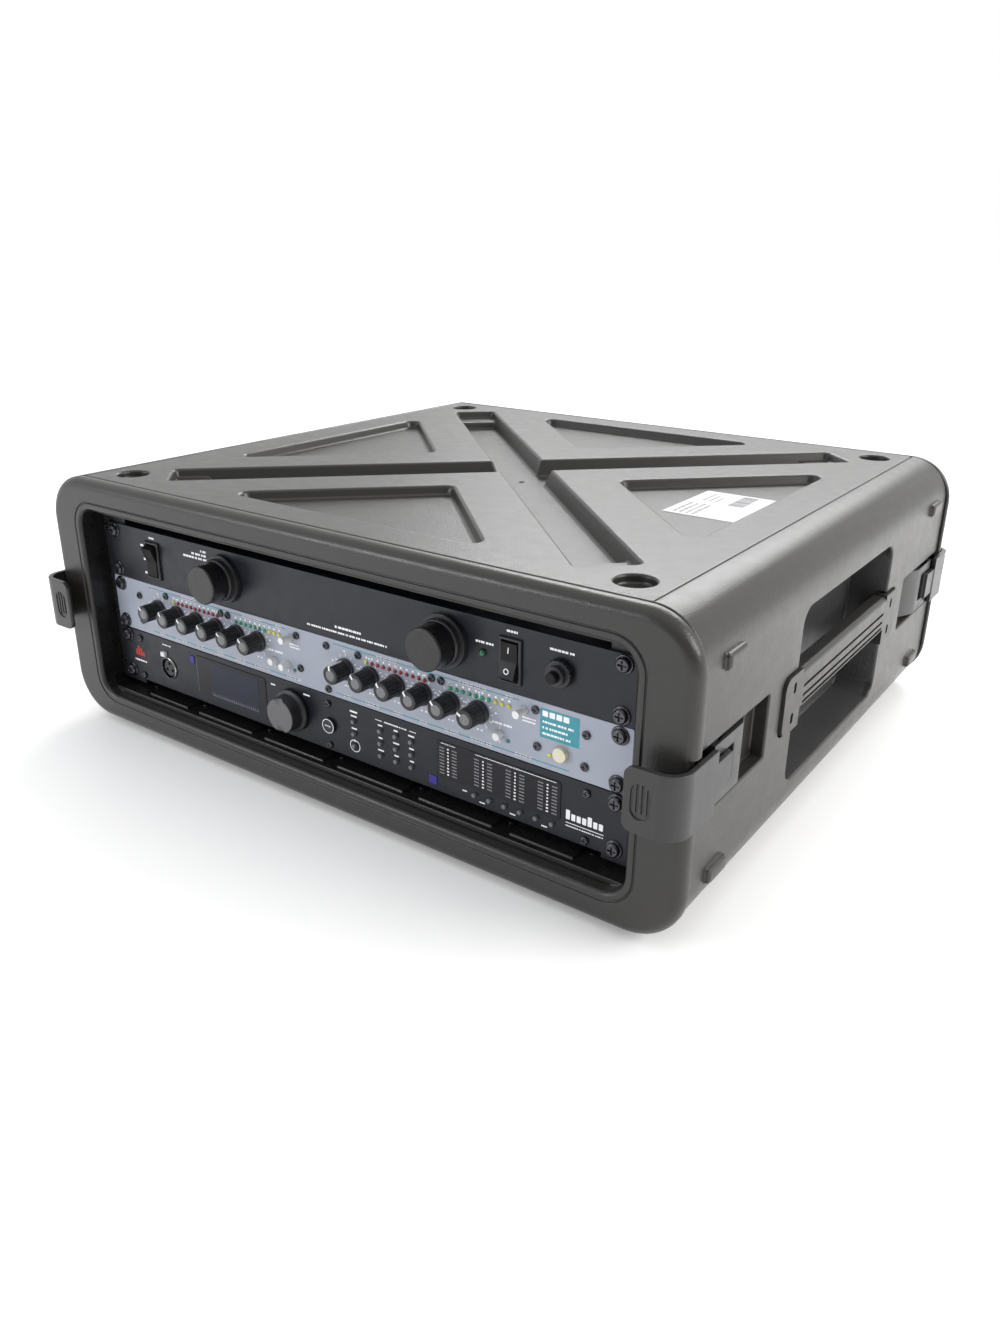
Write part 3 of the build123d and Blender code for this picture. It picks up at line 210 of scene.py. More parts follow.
# ---------------------------------------------------------------- mesh helpers
class Shape:
    """A mesh in millimetres of the row frame, made up of several bodies and materials."""

    def __init__(self):
        self.bm = bmesh.new()
        self.paint = 0

    def face(self, verts):
        """Add a smooth face in the current paint."""
        made = self.bm.faces.new(verts)
        made.material_index = self.paint
        made.smooth = True

    def ring_strip(self, lower, upper):
        """Join two closed rings of vertices with a band of faces."""
        for i in range(len(lower)):
            j = (i + 1) % len(lower)
            self.face([lower[i], lower[j], upper[j], upper[i]])

    def verts(self, points):
        """Add vertices and give them back in the same order."""
        return [self.bm.verts.new(p) for p in points]

    def lathe(self, centre, profile, steps=48, flutes=None):
        """Turn a profile of (radius, Y) round a line along Y. Flutes are (first, last, count, depth)."""
        previous = None
        for k, (radius, y) in enumerate(profile):
            points = []
            for i in range(steps):
                angle = 2 * math.pi * i / steps
                r = radius
                if flutes and flutes[0] <= k <= flutes[1]:
                    r -= flutes[3] * (0.5 + 0.5 * math.cos(flutes[2] * angle)) ** 3
                points.append((centre[0] + r * math.cos(angle), y, centre[1] + r * math.sin(angle)))
            ring = self.verts(points)
            if previous:
                self.ring_strip(previous, ring)
            else:
                self.face(list(reversed(ring)))
            previous = ring
        self.face(previous)

    def slab(self, outline, y0, y1):
        """Extrude an X-Z outline from its front y0 to its back y1."""
        back = self.verts([(x, y1, z) for x, z in outline])
        front = self.verts([(x, y0, z) for x, z in outline])
        self.ring_strip(back, front)
        self.face(front)
        self.face(list(reversed(back)))

    def bar(self, x, z, w, h, y=FACE_Y, angle=0.0, depth=INK):
        """Printed bar or small block on a front face."""
        c, s = math.cos(angle), math.sin(angle)
        corners = [(-w / 2, -h / 2), (w / 2, -h / 2), (w / 2, h / 2), (-w / 2, h / 2)]
        outline = [(x + u * c - v * s, z + u * s + v * c) for u, v in corners]
        self.slab(outline, y - depth, y)

    def circle(self, x, z, r, width, y=FACE_Y, depth=INK):
        """Printed ring."""
        inner, outer = r - width / 2, r + width / 2
        steps = 40
        angles = [2 * math.pi * i / steps for i in range(steps)]
        rows = []
        for radius, out in ((inner, 0), (inner, depth), (outer, depth), (outer, 0)):
            rows.append(self.verts([(x + radius * math.cos(a), y - out, z + radius * math.sin(a))
                                    for a in angles]))
        for a, b in zip(rows, rows[1:] + rows[:1]):
            self.ring_strip(a, b)

    def words(self, x, z, width, height, seed, y=FACE_Y, align="centre", weight=0.72):
        """A line of unreadable print: short blocks of uneven length."""
        draw = random.Random(seed)
        cursor = {"centre": x - width / 2, "left": x, "right": x - width}[align]
        end = cursor + width
        while cursor < end - 0.3:
            block = min(draw.choice((0.55, 0.8, 1.0, 1.3)) * height, end - cursor)
            self.bar(cursor + block / 2, z, block, height * weight, y)
            cursor += block + draw.choice((0.22, 0.22, 0.22, 0.6)) * height


def outline_box(x0, x1, z0, z1, r=0.0):
    """Rounded rectangle as a list of X-Z points, counter-clockwise."""
    if r <= 0:
        return [(x0, z0), (x1, z0), (x1, z1), (x0, z1)]
    points = []
    steps = 6                             # points on each rounded corner
    for cx, cz, start in ((x1 - r, z0 + r, -90), (x1 - r, z1 - r, 0), (x0 + r, z1 - r, 90),
                          (x0 + r, z0 + r, 180)):
        for i in range(steps + 1):
            angle = math.radians(start + 90 * i / steps)
            points.append((cx + r * math.cos(angle), cz + r * math.sin(angle)))
    return points


def piece(name, shape, materials, body="case", replaces=(), sharp=38, weighted=True):
    """Turn a shape into an object that rides on a body."""
    mesh = bpy.data.meshes.new(name)
    bmesh.ops.recalc_face_normals(shape.bm, faces=shape.bm.faces)
    shape.bm.to_mesh(mesh)
    shape.bm.free()
    mesh.transform(Matrix.Scale(MM, 4))
    dress(name, mesh, materials, body, replaces, sharp, weighted=weighted)


def dress(name, mesh, materials, body, replaces, sharp, bevel=0.0, segments=2, clamp=False,
          weighted=True):
    """Give a mesh its materials, soft edges and body, and hide the CAD nodes that it stands for."""
    for made in materials:
        mesh.materials.append(made)
    mesh.polygons.foreach_set("use_smooth", [True] * len(mesh.polygons))
    if not bevel:
        mesh.set_sharp_from_angle(angle=math.radians(sharp))
    obj = bpy.data.objects.new(name, mesh)
    bpy.context.scene.collection.objects.link(obj)
    if bevel:
        soften = obj.modifiers.new("bevel", "BEVEL")
        soften.width = bevel * MM
        soften.segments = segments
        soften.limit_method = "ANGLE"
        soften.angle_limit = math.radians(sharp)
        soften.use_clamp_overlap = clamp
        soften.miter_outer = "MITER_ARC"
    if weighted:
        normals = obj.modifiers.new("normals", "WEIGHTED_NORMAL")
        normals.keep_sharp = True
        normals.weight = 90
    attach(obj, body)
    if replaces:
        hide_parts(*replaces)


MERGE = 4e-6                          # points closer than this, in metres, become one
FLAT = math.radians(0.8)              # faces that meet at less than this become one
AXES = {"x": (1, 0, 0), "y": (0, 1, 0), "z": (0, 0, 1), "rising": (0.70711, -0.70711, 0),
        "falling": (0.70711, 0.70711, 0)}


def part_line(bm, axis, at):
    """Split the faces along a plane, so that no flat face is left with a hole in its middle."""
    normal = Vector(AXES[axis])
    point = normal * at * MM
    cut = bmesh.ops.bisect_plane(bm, geom=bm.verts[:] + bm.edges[:] + bm.faces[:], dist=2e-6,
                                 plane_co=point, plane_no=normal)
    for part in cut["geom_cut"]:
        if isinstance(part, bmesh.types.BMEdge):
            part.seam = True


def softened(node, suffix, material, width, segments=2, sharp=35, paint=(), cuts=(), clamp=False):
    """Stand-in for a CAD node: the same shape with rounded edges."""
    source = NODES[node]
    bm = bmesh.new()
    bm.from_mesh(source.data)
    bmesh.ops.remove_doubles(bm, verts=bm.verts, dist=MERGE)
    low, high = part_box(node)
    centre = (low + high) / 2 / MM
    for axis, at in [("x", centre.x), ("y", centre.y), ("z", centre.z), *cuts]:
        part_line(bm, axis, at)
    bmesh.ops.dissolve_limit(bm, angle_limit=FLAT, verts=bm.verts, edges=bm.edges,
                             use_dissolve_boundaries=False, delimit={"SEAM"})
    materials = [material] + [made for made, test in paint]
    for face in bm.faces:
        face.material_index = 0
        for k, (made, test) in enumerate(paint, start=1):
            if test(face.calc_center_median() / MM):
                face.material_index = k
    mesh = bpy.data.meshes.new(node + suffix)
    bm.to_mesh(mesh)
    bm.free()
    body = source["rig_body"]
    dress(node + suffix, mesh, materials, body, (node,), sharp, width, segments, clamp)


def sheet_panel(unit, material):
    """Front panel of one unit, cut through the rows of its rack holes."""
    z0 = UNIT_Z[unit]
    hole_x, hole_z = 232.55, 15.875
    cuts = [("x", -hole_x), ("x", hole_x), ("z", z0 - hole_z), ("z", z0 + hole_z)]
    softened(unit + "_faceplate", "_sheet", material, 0.3, cuts=cuts)


# ---------------------------------------------------------------- the case
SLEEVE_HALF = (250.2, 250.0, 75.5)    # just outside the sleeve that carries the rails
GRIP_HALF = (281.0, 136.0, 67.0)      # just outside the recesses behind the handles
LATCH_Y = 207.0                       # middle of the latch pockets
GRIP_END_Y = 100.0                    # ends of the handle recess
RIB_X = 265.5                         # middle of the finger ribs on a latch lever
RIB_EDGES = (-4.9, -1.6, 1.6, 4.9)    # X of the rib edges from there
RIB_Z = (100, 114)                    # heights where the ribs end


def inside(half, centre):
    """Whether a point is in a box round the middle of the case."""
    away = (centre.x, centre.y, centre.z - UNIT_Z["compressor"])
    return all(abs(distance) < limit for distance, limit in zip(away, half))


def in_sleeve(centre):
    """Faces inside the sleeve, behind the rolled edge of the opening, painted darker than the case as
    painted shade.
    """
    return inside(SLEEVE_HALF, centre)


def in_grip(centre):
    """Faces of the recess behind the carrying handle, painted lighter than the case as painted light."""
    return inside(GRIP_HALF, centre)


def build_case():
    """Moulded case, handles, latches, feet, rails and screws."""
    for end in ("front_rim", "rear_rim"):
        # The faces inside the opening take the darker copy of the case plastic: painted shade.
        softened(end, "_moulding", CASE, 0.6, paint=[(PAINTED_SHADE_SLEEVE, in_sleeve)])
    channels = [("rising", 0), ("falling", 0)]
    for shell in ("top_shell", "bottom_shell"):
        softened(shell, "_moulding", CASE, 1.9, segments=3, cuts=channels, sharp=50)
    recesses = [("y", at) for at in (-LATCH_Y, -GRIP_END_Y, GRIP_END_Y, LATCH_Y)]
    for side in ("left", "right"):
        # The handle recesses take the lighter copy of the case plastic: painted light.
        softened("side_panel_" + side, "_moulding", CASE, 1.6, segments=3, sharp=50, cuts=recesses,
                 paint=[(PAINTED_LIGHT_POCKET, in_grip)])
        softened("carry_handle_" + side, "_moulding", HANDLE, 0.3, sharp=50, clamp=True)
    softened("stacking_feet", "_pads", RUBBER, 0.4)
    softened("latch_bases", "_bodies", LATCH, 0.5)
    for corner in ("front_left", "front_right", "rear_left", "rear_right"):
        side = -1 if corner.endswith("left") else 1
        ribs = [("x", side * (RIB_X + at)) for at in RIB_EDGES] + [("z", at) for at in RIB_Z]
        softened("latch_lever_" + corner, "_plate", LATCH, 0.4, cuts=ribs)
    softened("rack_rails", "_steel", RAIL, 0.3)
    softened("case_screws", "_heads", BLACK_SCREW, 0.15)


def build_label():
    """Paper label on the floor of the right-hand top pocket, with unreadable print."""
    shape = Shape()
    floor_z, thick = 203.0, 0.25          # floor of the pocket, thickness of the paper
    left, right, near, far = 152, 211, -41, 38      # edges of the paper
    row_pitch, stripe_pitch = 5, 1.25

    def sheet(x0, x1, y0, y1, z, height):
        """Flat box, for the paper or a mark on it."""
        low = shape.verts([(x0, y0, z), (x1, y0, z), (x1, y1, z), (x0, y1, z)])
        high = shape.verts([(x0, y0, z + height), (x1, y0, z + height), (x1, y1, z + height),
                            (x0, y1, z + height)])
        shape.ring_strip(low, high)
        shape.face(high)
        shape.face(list(reversed(low)))

    sheet(left, right, near, far, floor_z, thick)
    draw = random.Random(5)
    shape.paint = 1
    paper_z = floor_z + thick
    for row in range(4):
        x = left + 6 + row * row_pitch
        y = near + 5.0
        while y < -6:
            length = draw.choice((2.5, 4.0, 6.0))
            sheet(x, x + 2.2, y, y + length, paper_z, INK)
            y += length + 1.4
    for k in range(26):
        width = draw.choice((0.4, 0.7, 1.1))
        y = 2 + k * stripe_pitch
        sheet(right - 27, right - 15, y, y + width * 0.8, paper_z, INK)
    for row in range(3):
        x = left + 10 + row * row_pitch
        sheet(x, x + 1.2, 6, 30 - 4 * row, paper_z, INK)
    piece("paper_label", shape, [PAPER, INK_GREY], weighted=False)


# ---------------------------------------------------------------- lamp and power unit
def build_power_unit():
    """Top unit: controls, lamps and print."""
    z0 = UNIT_Z["power"]
    sheet_panel("power", BLACK_PANEL)
    softened("panel_bezels", "_rings", BEZEL, 0.3)
    for side in ("left", "right"):
        build_lamp(side, z0)
    for rocker in ("light_rocker", "power_rocker"):
        softened(rocker, "_button", ROCKER, 0.3)
    softened("breaker_body", "_nut", BEZEL, 0.25)
    softened("breaker_button", "_cap", ROCKER, 0.25)
    build_power_print(z0)
    build_rocker_marks(z0)


def build_power_print(z0):
    """Words by the controls of the top unit, and the short marks by its light switch and lamp."""
    ink = Shape()
    head = 16.6                           # height of the top line over the middle of the unit
    ink.words(middle("light_rocker")[0], z0 + head, 6, 2.0, 1)
    for x, up, width in ((-199, 9.0, 3.6), (-197.5, -2.0, 2.2), (-197.5, -13.0, 2.6)):
        ink.bar(x, z0 + up, width, 1.7)
    for row, width in enumerate((6.5, 17.0, 27.0)):
        ink.words(-121.5, z0 + head - 3.1 * row, width, 2.3, 10 + row, align="right")
    ink.bar(-142.6, z0 - 9.3, 1.5, 6.4)
    ink.bar(-141.2, z0 - 11.8, 3.4, 1.6)
    # Each line: X and height of its middle, width, height of the letters, seed.
    lines = ((20, -12.4, 24, 2.2, 21), (18, -16.4, 74, 1.9, 22), (135.5, 5.8, 13.5, 2.0, 23),
             (156, 17.6, 8, 2.0, 24), (191.5, 13.4, 17, 2.0, 25))
    for x, up, width, height, seed in lines:
        ink.words(x, z0 + up, width, height, seed)
    piece("power_unit_print", ink, [INK_WHITE], weighted=False)


def build_lamp(side, z0):
    """Lamp tube and its domed grey face."""
    tube = "lamp_tube_" + side
    low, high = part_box(tube)
    x = (low.x + high.x) / 2 / MM
    front = low.y / MM
    radius = (high.x - low.x) / 2 / MM
    softened(tube, "_tube", LAMP_SIDE, 0.3)
    face = Shape()
    steps, dome = 8, 0.5                  # rings of the dome, and how far its middle stands out
    profile = [(0.02, front + 0.02)]
    for k in range(1, steps + 1):
        profile.append(((radius - 0.9) * k / steps, front + 0.02 + dome * (k / steps) ** 2))
    profile += [(radius - 0.55, front + 0.8), (radius - 0.5, front + 1.6), (0.02, front + 1.7)]
    face.lathe((x, z0), profile, steps=64)
    piece("lamp_face_" + side, face, [LAMP_FACE], body=tube)


def build_rocker_marks(z0):
    """The two white marks on the power rocker, tilted with it."""
    marks = Shape()
    x, pivot_y, pivot_z = middle("power_rocker")[0], FACE_Y + 2.0, z0 - 1.2
    up, slope, depth = 6.6, 0.2, 0.45     # height over the pivot, slope of the face, depth of a mark
    y = FACE_Y - 2.65 - up * slope
    marks.bar(x, pivot_z + up, 0.6, 3.6, y=y, depth=depth)
    marks.circle(x, pivot_z - up, 1.6, 0.55, y=y, depth=depth)
    turn = (Matrix.Translation((0, pivot_y, pivot_z)) @ Matrix.Rotation(math.radians(-9), 4, "X")
            @ Matrix.Translation((0, -pivot_y, -pivot_z)))
    bmesh.ops.transform(marks.bm, matrix=turn, verts=marks.bm.verts)
    piece("power_rocker_marks", marks, [INK_WHITE], body="power_rocker",
          weighted=False)


# ---------------------------------------------------------------- compressor
CHANNELS = (-129.0, 74.0)             # X of the middle of each row of knobs
KNOB_PITCH = 23.0
KNOB_Z = UNIT_Z["compressor"] + 2.7
POINTERS = ((128, 118, 132, 126, 138, 130), (96, 128, 126, 124, 128, 150))     # degrees
LED_PITCH = 5.12
# Each row of meter lights: X of the first from the middle of the channel, and the colours.
LED_ROWS = ((-37.92, ["yellow"] + ["red"] * 10), (34.3, ["green"] * 7 + ["yellow"] * 3))


def knob_x(channel, index):
    """X of one knob of a channel."""
    return CHANNELS[channel] + (index - 2.5) * KNOB_PITCH


def knob_profile(front):
    """Radius and Y of a knob from its face to its skirt."""
    return [(0.02, front + 0.35), (2.6, front + 0.32), (4.9, front + 0.15), (5.6, front + 0.02),
            (6.2, front + 0.10), (6.6, front + 0.55), (6.75, front + 1.2), (6.85, front + 4),
            (6.9, front + 9), (7.0, FACE_Y - 3.4), (7.3, FACE_Y - 2.9), (7.9, FACE_Y - 2.5),
            (7.98, FACE_Y - 1.6), (7.9, FACE_Y - 0.75), (3.0, FACE_Y - 0.65)]


def build_knob(channel, index):
    """Fluted knob with a grey dished cap and a white pointer line over its rim."""
    name = f"channel_{channel + 1}_knob_{index + 1}"
    x = knob_x(channel, index)
    front = FACE_Y - 16.0
    shape = Shape()
    shape.lathe((x, KNOB_Z), knob_profile(front), steps=80, flutes=(6, 8, 16, 0.55))
    shape.paint = 2
    cap = [(0.02, front + 0.02), (1.6, front + 0.05), (3.1, front + 0.14), (4.2, front + 0.28),
           (4.5, front + 0.5), (0.02, front + 0.6)]
    shape.lathe((x, KNOB_Z), cap, steps=40)
    shape.paint = 1
    angle = math.radians(POINTERS[channel][index])
    c, s = math.cos(angle), math.sin(angle)
    half = 0.72                           # half width of the pointer line
    end = FACE_Y - 3.6

    def across(r, y):
        """The two edges of the pointer line at one radius."""
        return [(x + r * c + side * half * s, y, KNOB_Z + r * s - side * half * c) for side in (-1, 1)]

    outside = ((3.6, front), (6.35, front), (6.95, front + 0.6), (7.08, front + 4.5), (7.12, end))
    inside_knob = ((3.6, front + 0.8), (6.0, front + 0.9), (6.2, front + 1.2), (6.2, front + 4.5),
                   (6.2, end))
    rows = []
    for over, under in zip(outside, inside_knob):
        a, b = across(*over), across(*under)
        rows.append(shape.verts([a[0], a[1], b[1], b[0]]))
    for a, b in zip(rows, rows[1:]):
        shape.ring_strip(a, b)
    shape.face(rows[0])
    shape.face(list(reversed(rows[-1])))
    piece(name + "_body", shape, [KNOB, INK_WHITE, KNOB_CAP], body=name,
          replaces=(name,), weighted=False)


def build_knob_scale(ink, x, seed):
    """Radial ticks round a knob, with short bars in place of numerals."""
    first, step = 240, 30                 # degrees
    tick_r, numeral_r = 8.9, 12.9
    for k in range(11):
        angle = math.radians(first - step * k)
        long = 3.0 if k % 5 == 0 else 2.3
        r = tick_r + long / 2
        ink.bar(x + r * math.cos(angle), KNOB_Z + r * math.sin(angle), long, 0.55, angle=angle)
    draw = random.Random(seed)
    for k in (-0.8, 2.4, 4.9, 7.6, 10.8):
        angle = math.radians(first - step * k + draw.uniform(-4, 4))
        ink.bar(x + numeral_r * math.cos(angle), KNOB_Z + numeral_r * math.sin(angle), 1.5, 1.0)


def build_compressor():
    """Middle unit: keys, knobs, print and lenses."""
    z0 = UNIT_Z["compressor"]
    sheet_panel("compressor", LILAC_PANEL)
    for key in ("channel_1_meter_key", "channel_1_bypass_key", "channel_link_key",
                "channel_2_meter_key", "channel_2_bypass_key"):
        softened(key, "_cap", WHITE, 0.25)
    softened("compressor_power_key", "_cap", CREAM, 0.3)
    for channel in range(2):
        for index in range(6):
            build_knob(channel, index)
    ink, teal = Shape(), Shape()
    for channel, centre in enumerate(CHANNELS):
        for index in range(6):
            build_knob_scale(ink, knob_x(channel, index), 31 + 6 * channel + index)
        build_channel_print(ink, teal, channel, centre, z0)
    build_badge(ink, teal, z0)
    ink.words(-190.5, z0 + 18.7, 9, 1.5, 61)
    piece("compressor_print", ink, [INK_WHITE], weighted=False)
    piece("compressor_lines", teal, [INK_TEAL], weighted=False)
    build_lenses(z0)


def build_channel_print(ink, teal, channel, centre, z0):
    """Coloured guide lines with words in their gaps, meter numerals and key legends of one channel."""
    top, bottom = z0 + 18.8, z0 - 18.3    # the two guide lines
    left, right = centre - 68.5, centre + 88.0
    key_x, tick = centre + 73.4, 0.35     # the ticks over and under the keys, and their width
    teal.bar((left + right) / 2, top, right - left, 0.7)
    for x, width, seed in ((centre - 20, 18, 1), (centre + 52, 22, 2), (centre + 80, 6, 3)):
        ink.words(x, top, width, 1.9, 70 + 10 * channel + seed, weight=0.8)
    end = centre + (98.0 if channel == 0 else 125.0)
    teal.bar((left + end) / 2, bottom, end - left, 0.7)
    names = [(-57.5, 7), (-34, 13), (-11, 8), (12, 8), (35, 11), (59, 17), (92, 14)]
    for k, (offset, width) in enumerate(names):
        ink.words(centre + offset, bottom, width, 1.9, 90 + 10 * channel + k, weight=0.8)
    for start, colours in LED_ROWS:
        for i in range(len(colours)):
            ink.bar(centre + start + LED_PITCH * i, z0 + 15.9, 1.5, 1.3)
    ink.words(centre + 75, z0 - 1.2, 15, 2.0, 110 + channel)
    ink.bar(key_x, z0 - 4.1, tick, 2.6)
    ink.bar(key_x, z0 - 13.6, tick, 2.4)
    for row in range(2):
        ink.words(centre + 95.5, z0 + 8.4 - 2.2 * row, 10, 1.4, 120 + 4 * channel + row)
    if channel == 0:
        ink.bar(-41.8, z0 - 13.6, tick, 2.4)


def build_badge(ink, teal, z0):
    """Teal block with plain white bars."""
    y = FACE_Y - INK
    teal.slab(outline_box(177.4, 205.3, z0 - 1.2, z0 + 18.4, 0.4), y, FACE_Y)
    for k in range(4):
        left = 179.0 + 5.0 * k
        ink.slab(outline_box(left, left + 4.0, z0 + 13.2, z0 + 17.0, 0.5), y - INK, y)
    for row, width in enumerate((22, 18, 20)):
        ink.words(179.2, z0 + 9.6 - 3.9 * row, width, 2.0, 140 + row, y=y, align="left")


def build_lenses(z0):
    """Domed indicator lenses, one piece for each colour."""
    paints = {"red": LED_RED, "green": LED_GREEN, "yellow": LED_YELLOW, "teal": LED_TEAL,
              "guard": LED_DARK}
    shapes = {colour: Shape() for colour in paints}

    def lens(colour, x, z, r=1.45, out=1.35):
        """One dome that stands out of the panel."""
        profile = [(0.02, FACE_Y - out)]
        for k in range(1, 6):
            a = math.pi / 2 * k / 5
            profile.append((r * math.sin(a), FACE_Y - out * (0.35 + 0.65 * math.cos(a))))
        profile += [(r, FACE_Y - 0.02), (r * 0.5, FACE_Y - 0.01)]
        shapes[colour].lathe((x, z), profile, steps=24)

    for centre in CHANNELS:
        for start, colours in LED_ROWS:
            for i, colour in enumerate(colours):
                lens(colour, centre + start + LED_PITCH * i, z0 + 12.7)
    for colour, x in (("teal", -34.9), ("teal", 153.8), ("yellow", 185.0)):
        lens(colour, x, z0 - 11.6, 1.3)
    lens("guard", 134.3, UNIT_Z["power"] - 0.9, 2.35, 2.9)
    for colour, shape in shapes.items():
        piece("lenses_" + colour, shape, [paints[colour]],
              replaces=("indicator_leds",) if colour == "red" else (), weighted=False)


# ---------------------------------------------------------------- processor
KEY_ROWS = (8.2, -1.4, -11.0)         # heights of the key rows over the middle of the unit
OUTPUT_X = (46.2, 60.4, 74.2)         # X of the print over each column of output keys
METERS = (106.0, 134.7, 159.8, 184.3)     # X of the middle of each meter


def build_processor():
    """Bottom unit: window, socket, keys, wheel and print."""
    z0 = UNIT_Z["processor"]
    sheet_panel("processor", BLACK_PANEL)
    softened("display_windows", "_panes", WINDOW, 0.2)
    socket_x, _, socket_z = middle("mic_socket")

    def in_bore(centre):
        """Faces inside the bore of the socket."""
        return math.hypot(centre.x - socket_x, centre.z - socket_z) < 7.9

    softened("mic_socket", "_shell", NICKEL, 0.2, paint=[(SOCKET, in_bore)])
    softened("mic_latch", "_tab", WHITE, 0.3)
    for node in ("menu_keys", "output_keys", "mute_keys"):
        softened(node, "_domes", KEY_CAP, 0.2)
    softened("standby_key", "_cap", BEZEL, 0.3)
    build_wheel(z0)
    build_screen(z0)
    build_processor_print(z0)
    mark = Shape()
    x, _, z = middle("standby_key")
    face = FACE_Y - 2.15                  # front of the key, under the mark
    mark.circle(x, z, 4.9, 1.3, y=face, depth=0.24)
    mark.slab(outline_box(x - 2.8, x + 2.8, z - 0.7, z + 0.7, 0.6), face - 0.25, face)
    piece("standby_key_mark", mark, [INK_WHITE], body="standby_key", weighted=False)


def build_wheel(z0):
    """Data wheel: satin face with two finger dishes, plain barrel and stepped skirt."""
    x, radius = middle("data_wheel")[0], 13.6
    front = FACE_Y - 14.0
    dish_r, dish_deep = 4.6, 2.4          # the finger dishes
    shape = Shape()
    steps, rings = 96, 26

    def dished(u, v):
        """How far a finger dish pushes back a point of the face."""
        away = min(math.hypot(u, v - side * (radius - 0.8)) for side in (-1, 1))
        return dish_deep * math.cos(math.pi / 2 * away / dish_r) ** 1.2 if away < dish_r else 0.0

    grid = []
    for k in range(rings + 1):
        r = (radius - 0.9) * k / rings
        row = []
        for i in range(steps):
            a = 2 * math.pi * i / steps
            u, v = r * math.cos(a), r * math.sin(a)
            y = front + 0.25 + 0.15 * (r / radius) ** 2 + dished(u, v)
            row.append((x + u, y, z0 + v))
        grid.append(row)
    shape.paint = 1
    centre = shape.verts([grid[0][0]])[0]
    previous = shape.verts(grid[1])
    for i in range(steps):
        shape.face([centre, previous[i], previous[(i + 1) % steps]])
    for row in grid[2:]:
        ring = shape.verts(row)
        shape.ring_strip(previous, ring)
        previous = ring
    shape.paint = 0
    for r, y in ((radius - 0.35, 0.35), (radius - 0.05, 0.9), (radius - 0.02, 2.0), (radius, 5.0),
                 (radius, 8.0), (radius + 0.02, 10.0), (radius + 0.6, 10.5), (16.0, 10.6),
                 (16.4, 11.0), (16.45, 12.2), (16.2, 13.1), (3.0, 13.2)):
        row = []
        for i in range(steps):
            a = 2 * math.pi * i / steps
            back = front + y
            push = dished(radius * math.cos(a), radius * math.sin(a))
            if push and y < 2.1:
                back = max(back, front + 0.4 + push + 0.12 * y)
            row.append((x + r * math.cos(a), back, z0 + r * math.sin(a)))
        ring = shape.verts(row)
        shape.ring_strip(previous, ring)
        previous = ring
    shape.face(previous)
    piece("data_wheel_body", shape, [BEZEL, LAMP_FACE], body="data_wheel",
          replaces=("data_wheel",), weighted=False, sharp=60)


def build_screen(z0):
    """Lit part of the display, with its row of segments and the frame line of the window."""
    glass = PANE_Y - 0.08                 # face of the lit part
    screen = Shape()
    screen.slab(outline_box(-131, -76, z0 - 13.6, z0 + 15.6, 0.6), glass, PANE_Y)
    piece("display_screen", screen, [SCREEN], weighted=False)
    marks = Shape()
    for i in range(22):
        x = -129 + i * 2.42
        marks.bar(x, z0 - 12.4, 1.7, 0.45, y=glass)
        marks.bar(x - 0.6, z0 - 11.2, 0.5, 2.0, y=glass)
    marks.slab(outline_box(-147.0, -146.7, z0 - 13, z0 + 16), PANE_Y - 0.06, PANE_Y)
    piece("display_segments", marks, [INK_GREY], weighted=False)


def build_processor_print(z0):
    """Print of the bottom unit, with plain bars for marks and names."""
    ink, red, blue, grey = Shape(), Shape(), Shape(), Shape()
    for k, height in enumerate((5.0, 8.5, 6.5, 4.0)):
        left, foot = -225.5 + 2.9 * k, z0 - 0.8
        red.slab(outline_box(left, left + 2.1, foot, foot + height, 0.6), FACE_Y - INK, FACE_Y)
    ink.words(-220.4, z0 - 5.2, 15, 1.9, 201)
    ink.words(-183.2, z0 + 16.8, 11, 1.4, 202)
    blue.slab(outline_box(-154.2, -149.6, z0 + 9.8, z0 + 15.6, 0.3), FACE_Y - 0.5, FACE_Y)
    ink.bar(-59.8, z0 + 15.2, 4.6, 1.2)
    ink.bar(-24.7, z0 + 16.0, 6.4, 1.2)
    menu_x = middle("menu_keys")[0]
    head = z0 + 15.6                      # row of headings
    for row, up in enumerate(KEY_ROWS):
        ink.bar(menu_x, z0 + up + 4.0, 5.6 - row * 0.5, 1.1)
        for k, x in enumerate(OUTPUT_X):
            ink.bar(x, z0 + up + 4.0, (4.0, 3.6, 5.4)[(row + k) % 3], 1.1)
    ink.bar(menu_x, head, 7.0, 1.3)
    ink.circle(menu_x, z0 + KEY_ROWS[2], 4.6, 0.55)
    ink.bar(45.0, z0 + 15.8, 6.0, 0.5)
    ink.words(60, z0 + 15.8, 20, 1.4, 203)
    ink.bar(75.5, z0 + 15.8, 6.0, 0.5)
    draw_meters(ink, grey, z0, head)
    for k in range(3):
        ink.bar(133.8 + 24.3 * k, z0 - 18.4, 4.4, 0.9)
    ink.bar(119.5, z0 - 14.2, 3.6, 0.9)
    blue.slab(outline_box(89.5, 96.0, z0 - 17.5, z0 - 11.2, 0.3), FACE_Y - 0.5, FACE_Y)
    for k in range(7):
        height = 6.6 if k in (0, 4) else 4.6
        left, foot = 198.0 + 3.9 * k, z0 - 7.0
        ink.slab(outline_box(left, left + 2.9, foot, foot + height, 0.5), FACE_Y - INK, FACE_Y)
    ink.bar(211.5, z0 - 9.4, 27, 0.5)
    ink.words(211.5, z0 - 11.6, 27, 1.1, 206)
    piece("processor_print", ink, [INK_WHITE], weighted=False)
    piece("processor_mark", red, [INK_RED], weighted=False)
    piece("processor_tabs", blue, [INK_BLUE], weighted=False)
    piece("meter_segments", grey, [INK_GREY], weighted=False)


